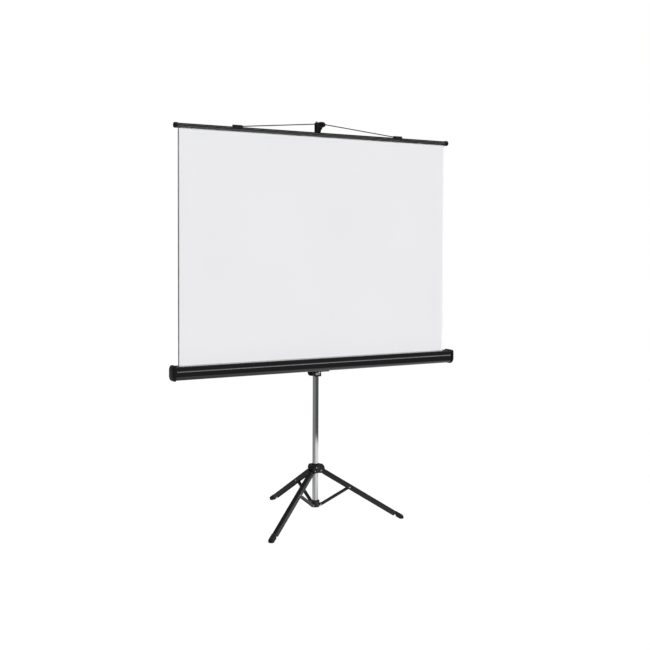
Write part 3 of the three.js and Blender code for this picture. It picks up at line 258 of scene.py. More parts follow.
def softened(points, radii, steps=6, closed=True):
    """Outline whose corners are circular arcs: each is a rational quadratic curve between its tangent points.
    Where two arcs want more than the edge between them, they share it in the ratio of their wants."""
    points = np.asarray(points, float)
    radii = np.broadcast_to(np.asarray(radii, float), len(points))
    back, ahead = np.roll(points, 1, axis=0) - points, np.roll(points, -1, axis=0) - points
    back_length, ahead_length = np.linalg.norm(back, axis=1), np.linalg.norm(ahead, axis=1)
    back, ahead = back / back_length[:, None], ahead / ahead_length[:, None]
    half_turn = (math.pi - np.arccos(np.clip((back * ahead).sum(1), -1.0, 1.0))) / 2
    want = radii * np.tan(half_turn)
    if not closed:
        want[[0, -1]] = 0.0
    room = 0.998 * np.minimum(back_length / np.maximum(want + np.roll(want, 1), 1e-9),
                              ahead_length / np.maximum(want + np.roll(want, -1), 1e-9))
    cut = want * np.minimum(room, 1.0)
    weight = np.cos(half_turn)[:, None, None]
    share = np.linspace(0.0, 1.0, steps)[None, :, None]
    first, last = points + back * cut[:, None], points + ahead * cut[:, None]
    side, middle, far = (1 - share) ** 2, 2 * weight * share * (1 - share), share ** 2
    curve = (side * first[:, None] + middle * points[:, None] + far * last[:, None]) / (side + middle + far)
    return curve.reshape(-1, points.shape[1])


def basis(axis):
    """Rows of a right-handed frame whose third direction is the given axis."""
    third = np.asarray(axis, float) / np.linalg.norm(axis)
    first = np.cross(Y_AXIS if abs(third[1]) < 0.9 else X_AXIS, third)
    first /= np.linalg.norm(first)
    return np.stack([first, np.cross(third, first), third])


def turned(profile, centre, axis=Z_AXIS, segments=72):
    """Surface of revolution: each (radius, height) point of the profile goes round the axis in a circle."""
    radius, height = np.asarray(profile, float).T[..., None]
    angle = np.linspace(0.0, 2 * math.pi, segments, endpoint=False)
    points = grid(radius * np.cos(angle), radius * np.sin(angle), height) @ basis(axis)
    return points + np.asarray(centre, float), quads(len(radius), segments, close_columns=True)


def loft(x, half_width, low, high, corner, axes, origin, steps=5):
    """Rounded rectangles of changing width and height, strung along the first axis, with both ends closed."""
    turn = np.concatenate([quarter(steps) + k * QUARTER for k in range(4)])
    sign_y = np.repeat([1, -1, -1, 1], steps)
    sign_z = np.repeat([1, 1, -1, -1], steps)
    half_height, middle = (high - low) / 2, (high + low) / 2
    radius = np.minimum(corner, np.minimum(half_width, half_height))[:, None]
    y = sign_y * (half_width[:, None] - radius) + radius * np.cos(turn)
    z = middle[:, None] + sign_z * (half_height[:, None] - radius) + radius * np.sin(turn)
    return grid(x[:, None], y, z) @ axes + origin, closed_tube(len(x), 4 * steps)


def tube_along(path, radius, sides=14):
    """Round section carried along a path: a circle across each point's tangent, closed at both ends."""
    tangent = np.gradient(path, axis=0)
    tangent /= np.linalg.norm(tangent, axis=1, keepdims=True)
    across = np.cross(tangent, Y_AXIS)
    across /= np.linalg.norm(across, axis=1, keepdims=True)
    over = np.cross(tangent, across)
    angle = np.linspace(0.0, 2 * math.pi, sides, endpoint=False)[None, :, None]
    points = path[:, None] + radius * (np.cos(angle) * across[:, None] + np.sin(angle) * over[:, None])
    return points.reshape(-1, 3), closed_tube(len(path), sides)


def together(*surfaces):
    """Several surfaces as one list of points and one of faces."""
    points, faces = [], []
    start = 0
    for part, corners in surfaces:
        points.append(part)
        faces += [[corner + start for corner in face] for face in corners]
        start += len(part)
    return np.concatenate(points), faces


def domed(radius, height, seat, steps=7):
    """Profile of a domed head: an elliptic arc from its rim to its crown."""
    angle = quarter(steps)
    return np.stack([radius * np.cos(angle), seat + height * np.sin(angle)], axis=1)


def solid_profile(radius, low, high, edge):
    """Profile of a disc or a pin, from axis to axis, with softened rims."""
    return softened([(0.0, low), (radius, low), (radius, high), (0.0, high)], edge, closed=False)


def ring_profile(outline, edge, steps=6):
    """Closed profile with softened corners, its first point repeated at the end."""
    profile = softened(outline, edge, steps)
    return np.concatenate([profile, profile[:1]])


def tube_profile(inner, outer, low, high, edge):
    """Closed profile of a tube with softened rims."""
    return ring_profile([(inner, low), (outer, low), (outer, high), (inner, high)], edge, steps=4)


# Objects


def setup(thing, **values):
    """Gives a thing its settings."""
    for name, value in values.items():
        setattr(thing, name, value)
    return thing


def linked(name, data):
    """New object in the scene."""
    obj = bpy.data.objects.new(name, data)
    bpy.context.scene.collection.objects.link(obj)
    return obj


def settle(obj, node, material, body=None):
    """Lets a finished piece ride on its node's body, or another, stand for the node and take its slot."""
    obj.data.materials.clear()
    obj.data.materials.append(material)
    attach(obj, body or BODY_OF[node])
    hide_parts(node)
    return obj


def new_object(name, surface, outward=True):
    """Mesh object of a surface, with coinciding points merged and its faces turned outwards."""
    mesh = bpy.data.meshes.new(name)
    points, faces = surface
    mesh.from_pydata(points.tolist(), [], faces)
    shape = bmesh.new()
    shape.from_mesh(mesh)
    bmesh.ops.remove_doubles(shape, verts=shape.verts, dist=WELD)
    bmesh.ops.dissolve_degenerate(shape, edges=shape.edges, dist=WELD)
    if outward:
        bmesh.ops.recalc_face_normals(shape, faces=shape.faces)
    shape.to_mesh(mesh)
    shape.free()
    return linked(name, mesh)


def shade(obj, angle=math.radians(38)):
    """Smooth shading that stays sharp across edges steeper than the angle."""
    obj.data.shade_smooth()
    obj.data.set_sharp_from_angle(angle=angle)
    return obj


def make(node, surface, material, **options):
    """Fine piece that stands for one node."""
    obj = shade(new_object(f"{node}_fine", surface, **options))
    return settle(obj, node, material)


def eased(node, material):
    """The node's own solid with its flat faces whole again and its edges rounded."""
    mesh = frame["nodes"][node].data.copy()
    mesh.name = f"{node}_fine"
    shape = bmesh.new()
    shape.from_mesh(mesh)
    bmesh.ops.remove_doubles(shape, verts=shape.verts, dist=0.02 * MM)
    bmesh.ops.dissolve_limit(shape, angle_limit=math.radians(0.6), verts=shape.verts, edges=shape.edges)
    shape.to_mesh(mesh)
    shape.free()
    obj = linked(f"{node}_fine", mesh)
    width = EDGES.get(node, FINE_EDGE) * MM * bpy.context.scene.screen_finish.edge
    setup(obj.modifiers.new("Eased edges", "BEVEL"), width=width, segments=3, limit_method="ANGLE",
          angle_limit=math.radians(40), use_clamp_overlap=True, harden_normals=True)
    return settle(shade(obj), node, material)


def wall(obj, thickness, offset=-1.0):
    """Gives an open skin its sheet thickness, inwards, or to both sides where the offset is 0."""
    solid = obj.modifiers.new("Sheet", "SOLIDIFY")
    setup(solid, thickness=thickness, offset=offset, use_even_offset=True)
    return obj


def pressed(node, surface, material, thickness=SHEET):
    """Fine piece of sheet, from its outer skin."""
    return wall(make(node, surface, material, outward=False), thickness)


def flat_panels(obj):
    """Keeps the shading of flat panels flat, so that only the bends between them turn the light."""
    obj.modifiers.new("Flat panels", "WEIGHTED_NORMAL").keep_sharp = True
    return obj


def span(node):
    """Lowest and highest corner of a node as arrays."""
    low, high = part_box(node)
    return np.array(low), np.array(high)


def middle_of(node):
    """Middle of a node's box."""
    return sum(span(node)) / 2


def half_of(node):
    """Half of a node's size."""
    low, high = span(node)
    return (high - low) / 2


def end_of(node, sense):
    """Where a node ends along x, on the side of the sense."""
    return span(node)[sense > 0][0]


def reach(node, origin, axes):
    """Lowest and highest place of a node along three axes through an origin."""
    mesh = frame["nodes"][node].data
    points = np.empty(len(mesh.vertices) * 3, np.float32)
    mesh.vertices.foreach_get("co", points)
    local = (points.reshape(-1, 3) - np.asarray(origin)) @ np.asarray(axes).T
    return local.min(axis=0), local.max(axis=0)


# Shader nodes


def plug(tree, socket, value):
    """Links an input to a socket, or sets it to a plain value."""
    if isinstance(value, bpy.types.NodeSocket):
        tree.links.new(value, socket)
    else:
        socket.default_value = value


def fit(tree, node, **values):
    """Each value goes to the node's input of that name, or else to its setting."""
    for key, value in values.items():
        name = key.replace("_", " ")
        if name in node.inputs:
            plug(tree, node.inputs[name], value)
        else:
            setattr(node, key, value)
    return node


def add(tree, kind, **values):
    """New node with its inputs and settings."""
    return fit(tree, tree.nodes.new(kind), **values)


def add_effect(tree, effect, **values):
    """Outputs of a shared effect, with its inputs."""
    return add(tree, "ShaderNodeGroup", node_tree=effect, **values).outputs


def object_place(tree):
    """Object coordinates."""
    return add(tree, "ShaderNodeTexCoord").outputs["Object"]


def noise(tree, place, scale, detail, roughness=0.5):
    """Noise at a place."""
    made = add(tree, "ShaderNodeTexNoise", Vector=place, Scale=scale, Detail=detail, Roughness=roughness)
    return made.outputs["Fac"]


def maths(tree, operation, first, second, clamp=False):
    """Result of two values."""
    node = add(tree, "ShaderNodeMath", operation=operation, use_clamp=clamp)
    plug(tree, node.inputs[0], first)
    plug(tree, node.inputs[1], second)
    return node.outputs[0]


def mix_colour(tree, factor, first, second):
    """Mix of two colours."""
    node = add(tree, "ShaderNodeMix", data_type="RGBA")
    for socket, value in ((0, factor), (6, first), (7, second)):
        plug(tree, node.inputs[socket], value)
    return node.outputs[2]


def ranged(tree, value, low, high, to_low=0.0, to_high=1.0):
    """Value carried from one range to another."""
    ends = {"From_Min": low, "From_Max": high, "To_Min": to_low, "To_Max": to_high}
    return add(tree, "ShaderNodeMapRange", Value=value, **ends).outputs["Result"]


def bumped(tree, height, strength, distance):
    """Normal of a bumped surface."""
    return add(tree, "ShaderNodeBump", Strength=strength, Distance=distance, Height=height).outputs["Normal"]


def for_camera(tree, seen, others, output):
    """Shows one shader to the camera and another to every other ray."""
    path = add(tree, "ShaderNodeLightPath")
    chosen = add(tree, "ShaderNodeMixShader", Fac=path.outputs["Is Camera Ray"])
    tree.links.new(others, chosen.inputs[1])
    tree.links.new(seen, chosen.inputs[2])
    tree.links.new(chosen.outputs[0], tree.nodes[output].inputs["Surface"])


# Shared shader effects


def shared_effect(name, inputs, outputs, fill):
    """Node group, made once: inputs with their values, outputs with their kinds, and what fill works out."""
    tree = bpy.data.node_groups.get(name)
    if tree:
        return tree
    tree = bpy.data.node_groups.new(name, "ShaderNodeTree")
    for socket, value in inputs.items():
        kind = "NodeSocketFloat" if isinstance(value, float) else "NodeSocketColor"
        tree.interface.new_socket(name=socket, in_out="INPUT", socket_type=kind).default_value = value
    for socket, kind in outputs.items():
        tree.interface.new_socket(name=socket, in_out="OUTPUT", socket_type=kind)
    given = tree.nodes.new("NodeGroupInput").outputs
    out = tree.nodes.new("NodeGroupOutput").inputs
    for socket, value in fill(tree, given).items():
        tree.links.new(value, out[socket])
    return tree


def grain_effect():
    """Pebbled skin of paint and mouldings: fine noise for height, and a slower one for roughness."""
    def fill(tree, given):
        place = object_place(tree)
        slow = noise(tree, place, 14.0, 4.0, 0.6)
        return {"Height": noise(tree, place, given["Grains per metre"], 2.0, 0.55),
                "Roughness": ranged(tree, slow, 0.3, 0.7, given["Smoothest"], given["Roughest"])}
    return shared_effect("Skin grain", {"Grains per metre": 900.0, "Smoothest": 0.3, "Roughest": 0.45},
                         {"Height": "NodeSocketFloat", "Roughness": "NodeSocketFloat"}, fill)


def cover_effect(name, cover, tone, amount, masks):
    """Colour laid over a base by an amount, where two masks agree."""
    def fill(tree, given):
        both = maths(tree, "MULTIPLY", *masks(tree))
        share = maths(tree, "MULTIPLY", both, given["Amount"], clamp=True)
        return {"Colour": mix_colour(tree, share, given["Base"], given[cover])}
    return shared_effect(name, {"Base": (0.01, 0.01, 0.01, 1.0), cover: tone, "Amount": amount},
                         {"Colour": "NodeSocketColor"}, fill)


def wear_effect():
    """Paint rubbed thin along edges: pointed places, broken up by noise, show the bare colour."""
    def masks(tree):
        pointed = add(tree, "ShaderNodeNewGeometry").outputs["Pointiness"]
        patches = noise(tree, object_place(tree), 60.0, 5.0, 0.65)
        return ranged(tree, pointed, 0.53, 0.62), ranged(tree, patches, 0.42, 0.68)
    return cover_effect("Edge rub", "Bare", (0.2, 0.2, 0.2, 1.0), 0.4, masks)


def dust_effect():
    """Thin dust on faces that look up, patchy by noise."""
    def masks(tree):
        normal = add(tree, "ShaderNodeNewGeometry").outputs["Normal"]
        facing = add(tree, "ShaderNodeSeparateXYZ", Vector=normal).outputs["Z"]
        patches = noise(tree, object_place(tree), 35.0, 6.0, 0.7)
        return ranged(tree, facing, 0.35, 1.0), ranged(tree, patches, 0.3, 0.75, 0.2, 1.0)
    return cover_effect("Settled dust", "Dust", (0.3, 0.29, 0.28, 1.0), 0.06, masks)


# Finishes


def blank_material(name):
    """Material with only a Principled shader, its nodes and that shader."""
    material = bpy.data.materials.new(name)
    material.use_nodes = True
    return material, material.node_tree, material.node_tree.nodes["Principled BSDF"]


def finish_colour(name):
    """Colour from the finish settings."""
    return tuple(getattr(bpy.context.scene.screen_finish, name))


def grey(tone):
    """Plain grey."""
    return (tone, tone, tone, 1.0)


def skin(name, colour, rough, grains, depth, bare, wear=0.0, dust=0.0, coat=0.0):
    """Painted or moulded surface: a grain, to a depth in mm, uneven roughness, worn edges and dust."""
    found = bpy.data.materials.get(name)
    if found:
        return found
    material, tree, shader = blank_material(name)
    grain = add_effect(tree, grain_effect(), Grains_per_metre=grains, Smoothest=rough[0], Roughest=rough[1])
    rubbed = add_effect(tree, wear_effect(), Base=colour, Bare=bare, Amount=wear)["Colour"]
    dusty = add_effect(tree, dust_effect(), Base=rubbed, Amount=dust)["Colour"]
    fit(tree, shader, Base_Color=dusty, Roughness=grain["Roughness"], Coat_Weight=coat, Coat_Roughness=0.05,
        Normal=bumped(tree, grain["Height"], 0.35, depth * MM))
    return material


def gloss_paint():
    """Gloss paint of the case and the bar."""
    return skin("Black gloss paint", finish_colour("paint"), rough=(0.12, 0.18), grains=1100.0, depth=0.03,
                bare=grey(0.05), wear=0.2, dust=0.02, coat=0.5)


def leg_paint():
    """Satin paint of the legs and struts."""
    return skin("Black leg paint", finish_colour("paint"), rough=(0.22, 0.30), grains=1400.0, depth=0.04,
                bare=grey(0.10), wear=0.3, dust=0.01)


def moulding():
    """Black plastic."""
    return skin("Black moulding", finish_colour("moulding"), rough=(0.24, 0.34), grains=1700.0, depth=0.05,
                bare=grey(0.04), wear=0.3, dust=0.01)


def rubber():
    """Black rubber of the feet."""
    return skin("Black rubber", finish_colour("rubber"), rough=(0.6, 0.8), grains=700.0, depth=0.15,
                bare=(0.06, 0.06, 0.058, 1.0), wear=0.5, dust=0.10)


def nylon():
    """Natural nylon of the hem cord and the rod bush."""
    return skin("Natural nylon", finish_colour("nylon"), rough=(0.4, 0.5), grains=800.0, depth=0.04,
                bare=(0.75, 0.74, 0.7, 1.0), wear=0.1)


def wire_finish():
    """Dark coated wire with a faint grain."""
    return skin("Dark wire", (0.01, 0.01, 0.0105, 1.0), rough=(0.4, 0.55), grains=1500.0, depth=0.03,
                bare=grey(0.05), wear=0.1)


def roll_finish():
    """Plain matt cloth of the roll."""
    colour = tuple(bpy.context.scene.screen_cloth.colour)
    return skin("Rolled cloth", colour, rough=(0.8, 0.95), grains=1500.0, depth=0.05, bare=colour)


def metal(name, colour, rough, streaks, depth):
    """Bare or plated metal: smudged roughness and a grain, to a depth in mm, drawn along the streaks."""
    found = bpy.data.materials.get(name)
    if found:
        return found
    material, tree, shader = blank_material(name)
    grain = add_effect(tree, grain_effect(), Grains_per_metre=500.0, Smoothest=rough[0], Roughest=rough[1])
    stretch = add(tree, "ShaderNodeMapping", Vector=object_place(tree), Scale=streaks)
    drawn = noise(tree, stretch.outputs["Vector"], 1.0, 3.0)
    fit(tree, shader, Metallic=1.0, Base_Color=colour, Roughness=grain["Roughness"],
        Normal=bumped(tree, drawn, 0.15, depth * MM))
    return material


def chrome():
    """Chrome plate, drawn upright."""
    return metal("Chrome plate", finish_colour("chrome"), rough=(0.05, 0.11), streaks=(700.0, 700.0, 9.0),
                 depth=0.01)


def steel():
    """Bright steel."""
    return metal("Bright steel", finish_colour("steel"), rough=(0.18, 0.32), streaks=(900.0, 900.0, 900.0),
                 depth=0.02)


def zinc():
    """Satin zinc of the lock plate."""
    return metal("Satin zinc", finish_colour("chrome"), rough=(0.36, 0.46), streaks=(900.0, 900.0, 60.0),
                 depth=0.02)


def cloth_finish():
    """Matt white cloth with a fine cross weave, faint clouding and a grey line of painted shade along its left
    edge.
    """
    settings = bpy.context.scene.screen_cloth
    low, high = span("screen_fabric")
    width, height = high[0] - low[0], high[2] - low[2]
    material, tree, shader = blank_material("Matt white cloth")
    surface = add(tree, "ShaderNodeUVMap", uv_map="cloth").outputs["UV"]
    across = add(tree, "ShaderNodeSeparateXYZ", Vector=surface).outputs["X"]
    place = add(tree, "ShaderNodeMapping", Vector=surface, Scale=(width, height, 1.0)).outputs["Vector"]
    clouds = ranged(tree, noise(tree, place, 2.2, 3.0), 0.35, 0.65)
    cloudy = (*(CLOUDING * part for part in settings.colour[:3]), 1.0)
    plain = mix_colour(tree, clouds, tuple(settings.colour), cloudy)
    # Painted shade: a dark band on the left edge only, standing for the side of the curl turned from the key
    # light. It is mixed into the base colour below.
    share = settings.edge_width / width
    edge = ranged(tree, across, 0.85 * share, 1.15 * share, 1.0, 0.0)
    thread = {"wave_type": "BANDS", "Vector": place, "Scale": WEAVE_SCALE, "Distortion": 0.6}
    waves = [add(tree, "ShaderNodeTexWave", bands_direction=way, **thread).outputs["Fac"] for way in "XY"]
    fit(tree, shader, Roughness=0.88, Specular_IOR_Level=0.25, Sheen_Weight=0.08,
        Base_Color=mix_colour(tree, edge, plain, tuple(settings.shaded_edge_colour)),
        Normal=bumped(tree, maths(tree, "MAXIMUM", *waves), 0.12, 0.08 * MM))
    return material


# Pieces of the stand


def rivet(node, centre, axis):
    """Two domed heads on a shank: half a profile and its mirror image, turned about the pin's axis, as long
    and as wide as the node."""
    high = reach(node, centre, basis(axis))[1]
    radius, seat = high[:2].max(), high[2] - RIVET_HEAD
    upper = np.concatenate([[(RIVET_SHANK * radius, seat)], domed(radius, RIVET_HEAD, seat)])
    lower = upper[::-1] * (1, -1)
    return make(node, turned(np.concatenate([lower, upper]), centre, axis, 32), steel())


def screw(node, centre, axis, ends, shank, head_radius):
    """Domed screw with a slot across its head: the crown is lowered along a narrow band."""
    tip, seat = ends[0], ends[1] - SCREW_HEAD
    floor = seat + SLOT_FLOOR * SCREW_HEAD
    body = [(0.0, tip), (shank, tip), (shank, seat)]
    profile = np.concatenate([body, domed(head_radius, SCREW_HEAD, seat, 10)])
    points, faces = turned(profile, (0, 0, 0), Z_AXIS, 48)
    in_slot = (np.abs(points[:, 0]) < SLOT_HALF * head_radius) & (points[:, 2] > floor)
    points[:, 2] = np.where(in_slot, floor, points[:, 2])
    return make(node, (points @ basis(axis) + np.asarray(centre), faces), steel())


def pin(node, radius):
    """Plain pin: a softened rectangle turned about an axis along y, as long as its node."""
    low, high = span(node)
    x, _, z = middle_of(node)
    profile = solid_profile(radius, low[1], high[1], PIN_EDGE)
    return make(node, turned(profile, (x, 0.0, z), Y_AXIS, 32), steel())


def linkage(number):
    """Pins and directions of one leg: collar pin, strut pin, hub pin, and the strut's and the leg's axes."""
    fold = JOINTS["leg_fold" if number == 1 else f"strut_{number}_fold"]
    spread = JOINTS[f"leg_{number}_spread"]
    collar_pin, strut_pin = np.array(fold["pos_m"]), np.array(spread["pos_m"])
    sideways = np.array(spread["axis"])
    hub_pin = np.array([*collar_pin[:2], 2 * strut_pin[2] - collar_pin[2]])
    axes = {}
    for name, start in (("strut", collar_pin), ("leg", hub_pin)):
        along = (strut_pin - start) / np.linalg.norm(strut_pin - start)
        axes[name] = np.stack([along, sideways, np.cross(along, sideways)])
    return collar_pin, strut_pin, hub_pin, axes


def channel(x, low, high, web, half_width, bend, axes, origin):
    """Pressed channel skin, open below: two flanges between their lower and upper edges, and where the web
    runs, a quarter-round bend on each side and the flat between them."""
    rows = np.linspace(0.0, 1.0, 7)
    top = np.where(web, high - bend, high)
    z = low[:, None] + (top - low)[:, None] * rows
    faces = quads(len(x), len(rows))
    inner = [face[::-1] for face in faces]
    sheets = [(grid(x[:, None], side * half_width, z), turn) for side, turn in ((-1, inner), (1, faces))]
    angle = quarter(6)
    across, over = half_width - bend * (1 - np.cos(angle)), bend * np.sin(angle) - bend
    across, over = np.append(-across, across[::-1]), np.append(over, over[::-1])
    roof = grid(x[web][:, None], across, high[web][:, None] + over)
    sheets.append((roof, [face[::-1] for face in quads(web.sum(), len(across))]))
    points, faces = together(*sheets)
    return points @ axes + origin, faces


def rounded_end(x, end, radius, sense):
    """Share of the full height left at x near a half-round end: the chord of the circle."""
    inside = np.clip(sense * (x - end) / radius, 0.0, 1.0)
    return np.sqrt(np.clip(1.0 - (1.0 - inside) ** 2, 0.0, 1.0))


def stations(start, end, ends, extra, count=60):
    """Places along a piece, close together near its ends, and the extra ones."""
    near = ends * (1 - np.cos(quarter(12)))
    between = np.linspace(start + ends, end - ends, count)[1:-1]
    return np.unique(np.concatenate([start + near, between, end - near[::-1], extra]))


def leg_piece(number):
    """Channel leg: it grows from a half-round head to its full height, and its lower end is rounded."""
    _, _, hub_pin, axes = linkage(number)
    node = f"leg_{number}"
    low, high = reach(node, hub_pin, axes["leg"])
    head = -low[0]
    x = stations(low[0], high[0], head, [EAR])
    grown = np.interp(x, [0.0, LEG_TAPER], [head / high[2], 1.0]) * rounded_end(x, low[0], head, 1)
    upper = high[2] * grown
    tail = np.clip((x - (high[0] - LEG_CORNER)) / LEG_CORNER, 0.0, 1.0)
    lower = -upper + LEG_CORNER * (1 - np.sqrt(1 - tail ** 2))
    surface = channel(x, lower, upper, x >= EAR - WELD, high[1], LEG_BEND, axes["leg"], hub_pin)
    return pressed(node, surface, leg_paint(), LEG_SHEET)


def strut_piece(number):
    """Channel strut with a web between its ears, as high at each place as the chord of its end circles."""
    collar_pin, strut_pin, _, axes = linkage(number)
    node = f"strut_{number}"
    low, high = reach(node, collar_pin, axes["strut"])
    radius, far_ear = high[2], np.linalg.norm(strut_pin - collar_pin) - EAR
    x = stations(low[0], high[0], radius, [EAR, far_ear], 40)
    upper = radius * rounded_end(x, low[0], radius, 1) * rounded_end(x, high[0], radius, -1)
    web = (x >= EAR - WELD) & (x <= far_ear + WELD)
    surface = channel(x, -upper, upper, web, high[1], STRUT_BEND, axes["strut"], collar_pin)
    return pressed(node, surface, leg_paint())


def foot_piece(number):
    """Rubber foot in rounded sections along its leg: a tongue in the channel, a neck notched below, and a toe
    that ends in a half circle. What would reach under the floor is flattened on it."""
    _, _, hub_pin, axes = linkage(number)
    node = f"foot_{number}"
    low, high = reach(node, hub_pin, axes["leg"])
    leg_high = reach(f"leg_{number}", hub_pin, axes["leg"])[1]
    start, radius, inside = leg_high[0] + GAP, (high[2] - low[2]) / 2, LEG_SHEET + GAP
    toe = high[0] - radius
    turn = quarter(14)
    neck, sole = np.linspace(1.0, 2.0, 6) * FOOT_NECK, np.linspace(start + 2.2 * FOOT_NECK, toe, 12)
    x = np.concatenate([[low[0], start], start + FOOT_SHOULDER * (1 - np.cos(turn)), start + neck, sole,
                        toe + radius * np.sin(turn[1:])])
    shoulder = FOOT_SHOULDER * (1 - rounded_end(x, start, FOOT_SHOULDER, 1))
    round_off = 1 - rounded_end(x, high[0], radius, -1)
    notch = np.interp(x, [start + FOOT_NECK, start + 2 * FOOT_NECK], [low[2] + FOOT_NOTCH, low[2]])
    lower = notch + radius * round_off
    upper = np.maximum(high[2] - shoulder - radius * round_off, lower + GAP)
    half = high[1] - shoulder - FOOT_TUCK * round_off
    upper[:2], half[:2] = leg_high[2] - inside, leg_high[1] - inside
    points, faces = loft(x, half, lower, upper, FOOT_CORNER, axes["leg"], hub_pin)
    points[:, 2] = np.maximum(points[:, 2], 0.0)
    return make(node, (points, faces), rubber())


def round_piece(node, profile, material, segments=96):
    """Piece turned about its node's upright middle line."""
    return make(node, turned(profile, (*middle_of(node)[:2], 0.0), Z_AXIS, segments), material)


def tube_piece(node, bore, material, edge):
    """Round tube: a softened rectangle from its bore to its node's radius, turned about an upright axis."""
    low, high = span(node)
    return round_piece(node, tube_profile(bore, half_of(node)[0], low[2], high[2], edge), material)


def column_collar_piece():
    """Stepped collar: a skirt on the column, a narrower bore above its seat, and a chamfered top."""
    node = "column_collar"
    low, high = span(node)
    bottom, top, radius = low[2], high[2], half_of(node)[0]
    seat = span("column_tube")[1][2] + GAP
    outline = [(COLUMN_BORE, bottom), (radius, bottom), (radius, top - COLLAR_CHAMFER),
               (radius - COLLAR_CHAMFER, top), (ROD_BORE, top), (ROD_BORE, seat), (COLUMN_BORE, seat)]
    return round_piece(node, ring_profile(outline, COLLAR_ROUNDS), moulding())


def clamp_knob_piece():
    """Lobed knob: the radius of a softened disc waves six times round its axis."""
    radius, half, _ = half_of("clamp_knob")
    points, faces = turned(solid_profile(radius, -half, half, KNOB_EDGE), (0, 0, 0), Z_AXIS, 96)
    x, y, _ = points.T
    rim = np.clip(np.hypot(x, y) / radius, 0, 1) ** 4
    points[:, :2] *= (1 - LOBE_DEPTH * (1 - np.cos(KNOB_LOBES * np.arctan2(y, x))) * rim)[:, None]
    return make("clamp_knob", (points @ basis(Y_AXIS) + middle_of("clamp_knob"), faces), moulding())


def hub_screw_piece():
    """Screw in the hub's crown, square to the column."""
    column, place = middle_of("column_tube"), middle_of("hub_screw")
    outward = (place - column) * (1, 1, 0)
    outward /= np.linalg.norm(outward)
    centre = np.array([*column[:2], place[2]])
    low, high = reach("hub_screw", centre, basis(outward))
    return screw("hub_screw", centre, outward, (low[2], high[2]), *HUB_SCREW)


# Pieces of the case, the cloth and the bar


def case_outline(grow):
    """Outline of the case in (y, z), grown by a margin, anticlockwise seen along +x, and its corner radii."""
    low, high = span("case_shell")
    front, back, bottom, top = low[1] - grow, high[1] + grow, low[2] - grow, high[2] + grow
    return [(front, top), (front, bottom), (back, bottom), (back, top)], CASE_ROUNDS + grow


def case_piece():
    """Sheet case: from the front lip of the slot over the top, down the creased front, under and up the back
    to the rear lip, carried along the case."""
    low, high = span("case_shell")
    cloth = middle_of("screen_fabric")[1]
    corners, radii = case_outline(0.0)
    front, top = corners[0]
    crease = top - CREASE_DROP
    path = [(cloth - CASE_SLOT, top - CASE_LIP), (cloth - CASE_SLOT, top), corners[0],
            (front, crease + CREASE_HALF), (front + CREASE_DEPTH, crease), (front, crease - CREASE_HALF),
            *corners[1:], (cloth + CASE_SLOT, top), (cloth + CASE_SLOT, top - CASE_LIP)]
    bends = [0, LIP_ROUNDS[0], radii[0], *CREASE_ROUNDS, *radii[1:], LIP_ROUNDS[1], 0]
    section = softened(path, bends, steps=9, closed=False)
    surface = swept(np.linspace(low[0], high[0], 40), *section.T)
    return flat_panels(pressed("case_shell", surface, gloss_paint()))


def cap_piece(side):
    """Moulded end cap: the case's outline grown by its lap, drawn in about its middle as a quarter circle
    turns, so that the cap domes to a flat nose, and a boss inside for the roller's pin."""
    node, sense = f"case_cap_{side}", SIDES[side]
    outline = softened(*case_outline(span("case_shell")[0][1] - span(node)[0][1]), steps=14)
    middle = (outline.min(axis=0) + outline.max(axis=0)) / 2
    inner = end_of("case_shell", sense) + sense * GAP
    depth = abs(end_of(node, sense) - inner)
    turn = quarter(18)
    along = np.concatenate([[0.0, CAP_LIP], depth - CAP_DOME * (1 - np.sin(turn))])
    lip_share = 1 - CAP_LIP / (middle - outline.min(axis=0)).max()
    share = np.concatenate([[lip_share, 1.0], 1 - (1 - CAP_NOSE) * (1 - np.cos(turn))])[:, None]
    y, z = middle[:, None, None] + share * (outline - middle).T[:, None]
    body = (grid((inner + sense * along)[:, None], y, z), closed_tube(len(along), len(outline)))
    boss = tube_profile(*CAP_BOSS, 0.0, abs(end_of(node, -sense) - inner), BOSS_EDGE)
    boss_surface = turned(boss, (inner, *JOINTS["roller_spin"]["pos_m"][1:]), (-sense, 0, 0), 48)
    return make(node, together(body, boss_surface), moulding())


def roll_piece():
    """Turns of cloth left on the roller: a spiral sheet, its radius growing by the pitch each turn."""
    low, high = span("fabric_roll")
    _, y, z = middle_of("fabric_roll")
    angle = np.linspace(-ROLL_TURNS * 2 * math.pi, 0.0, 160)
    radius = half_of("fabric_roll")[2] + angle / (2 * math.pi) * ROLL_PITCH
    surface = swept(np.array([low[0], high[0]]), y + radius * np.cos(angle), z + radius * np.sin(angle))
    return pressed("fabric_roll", surface, roll_finish(), ROLL_CLOTH)


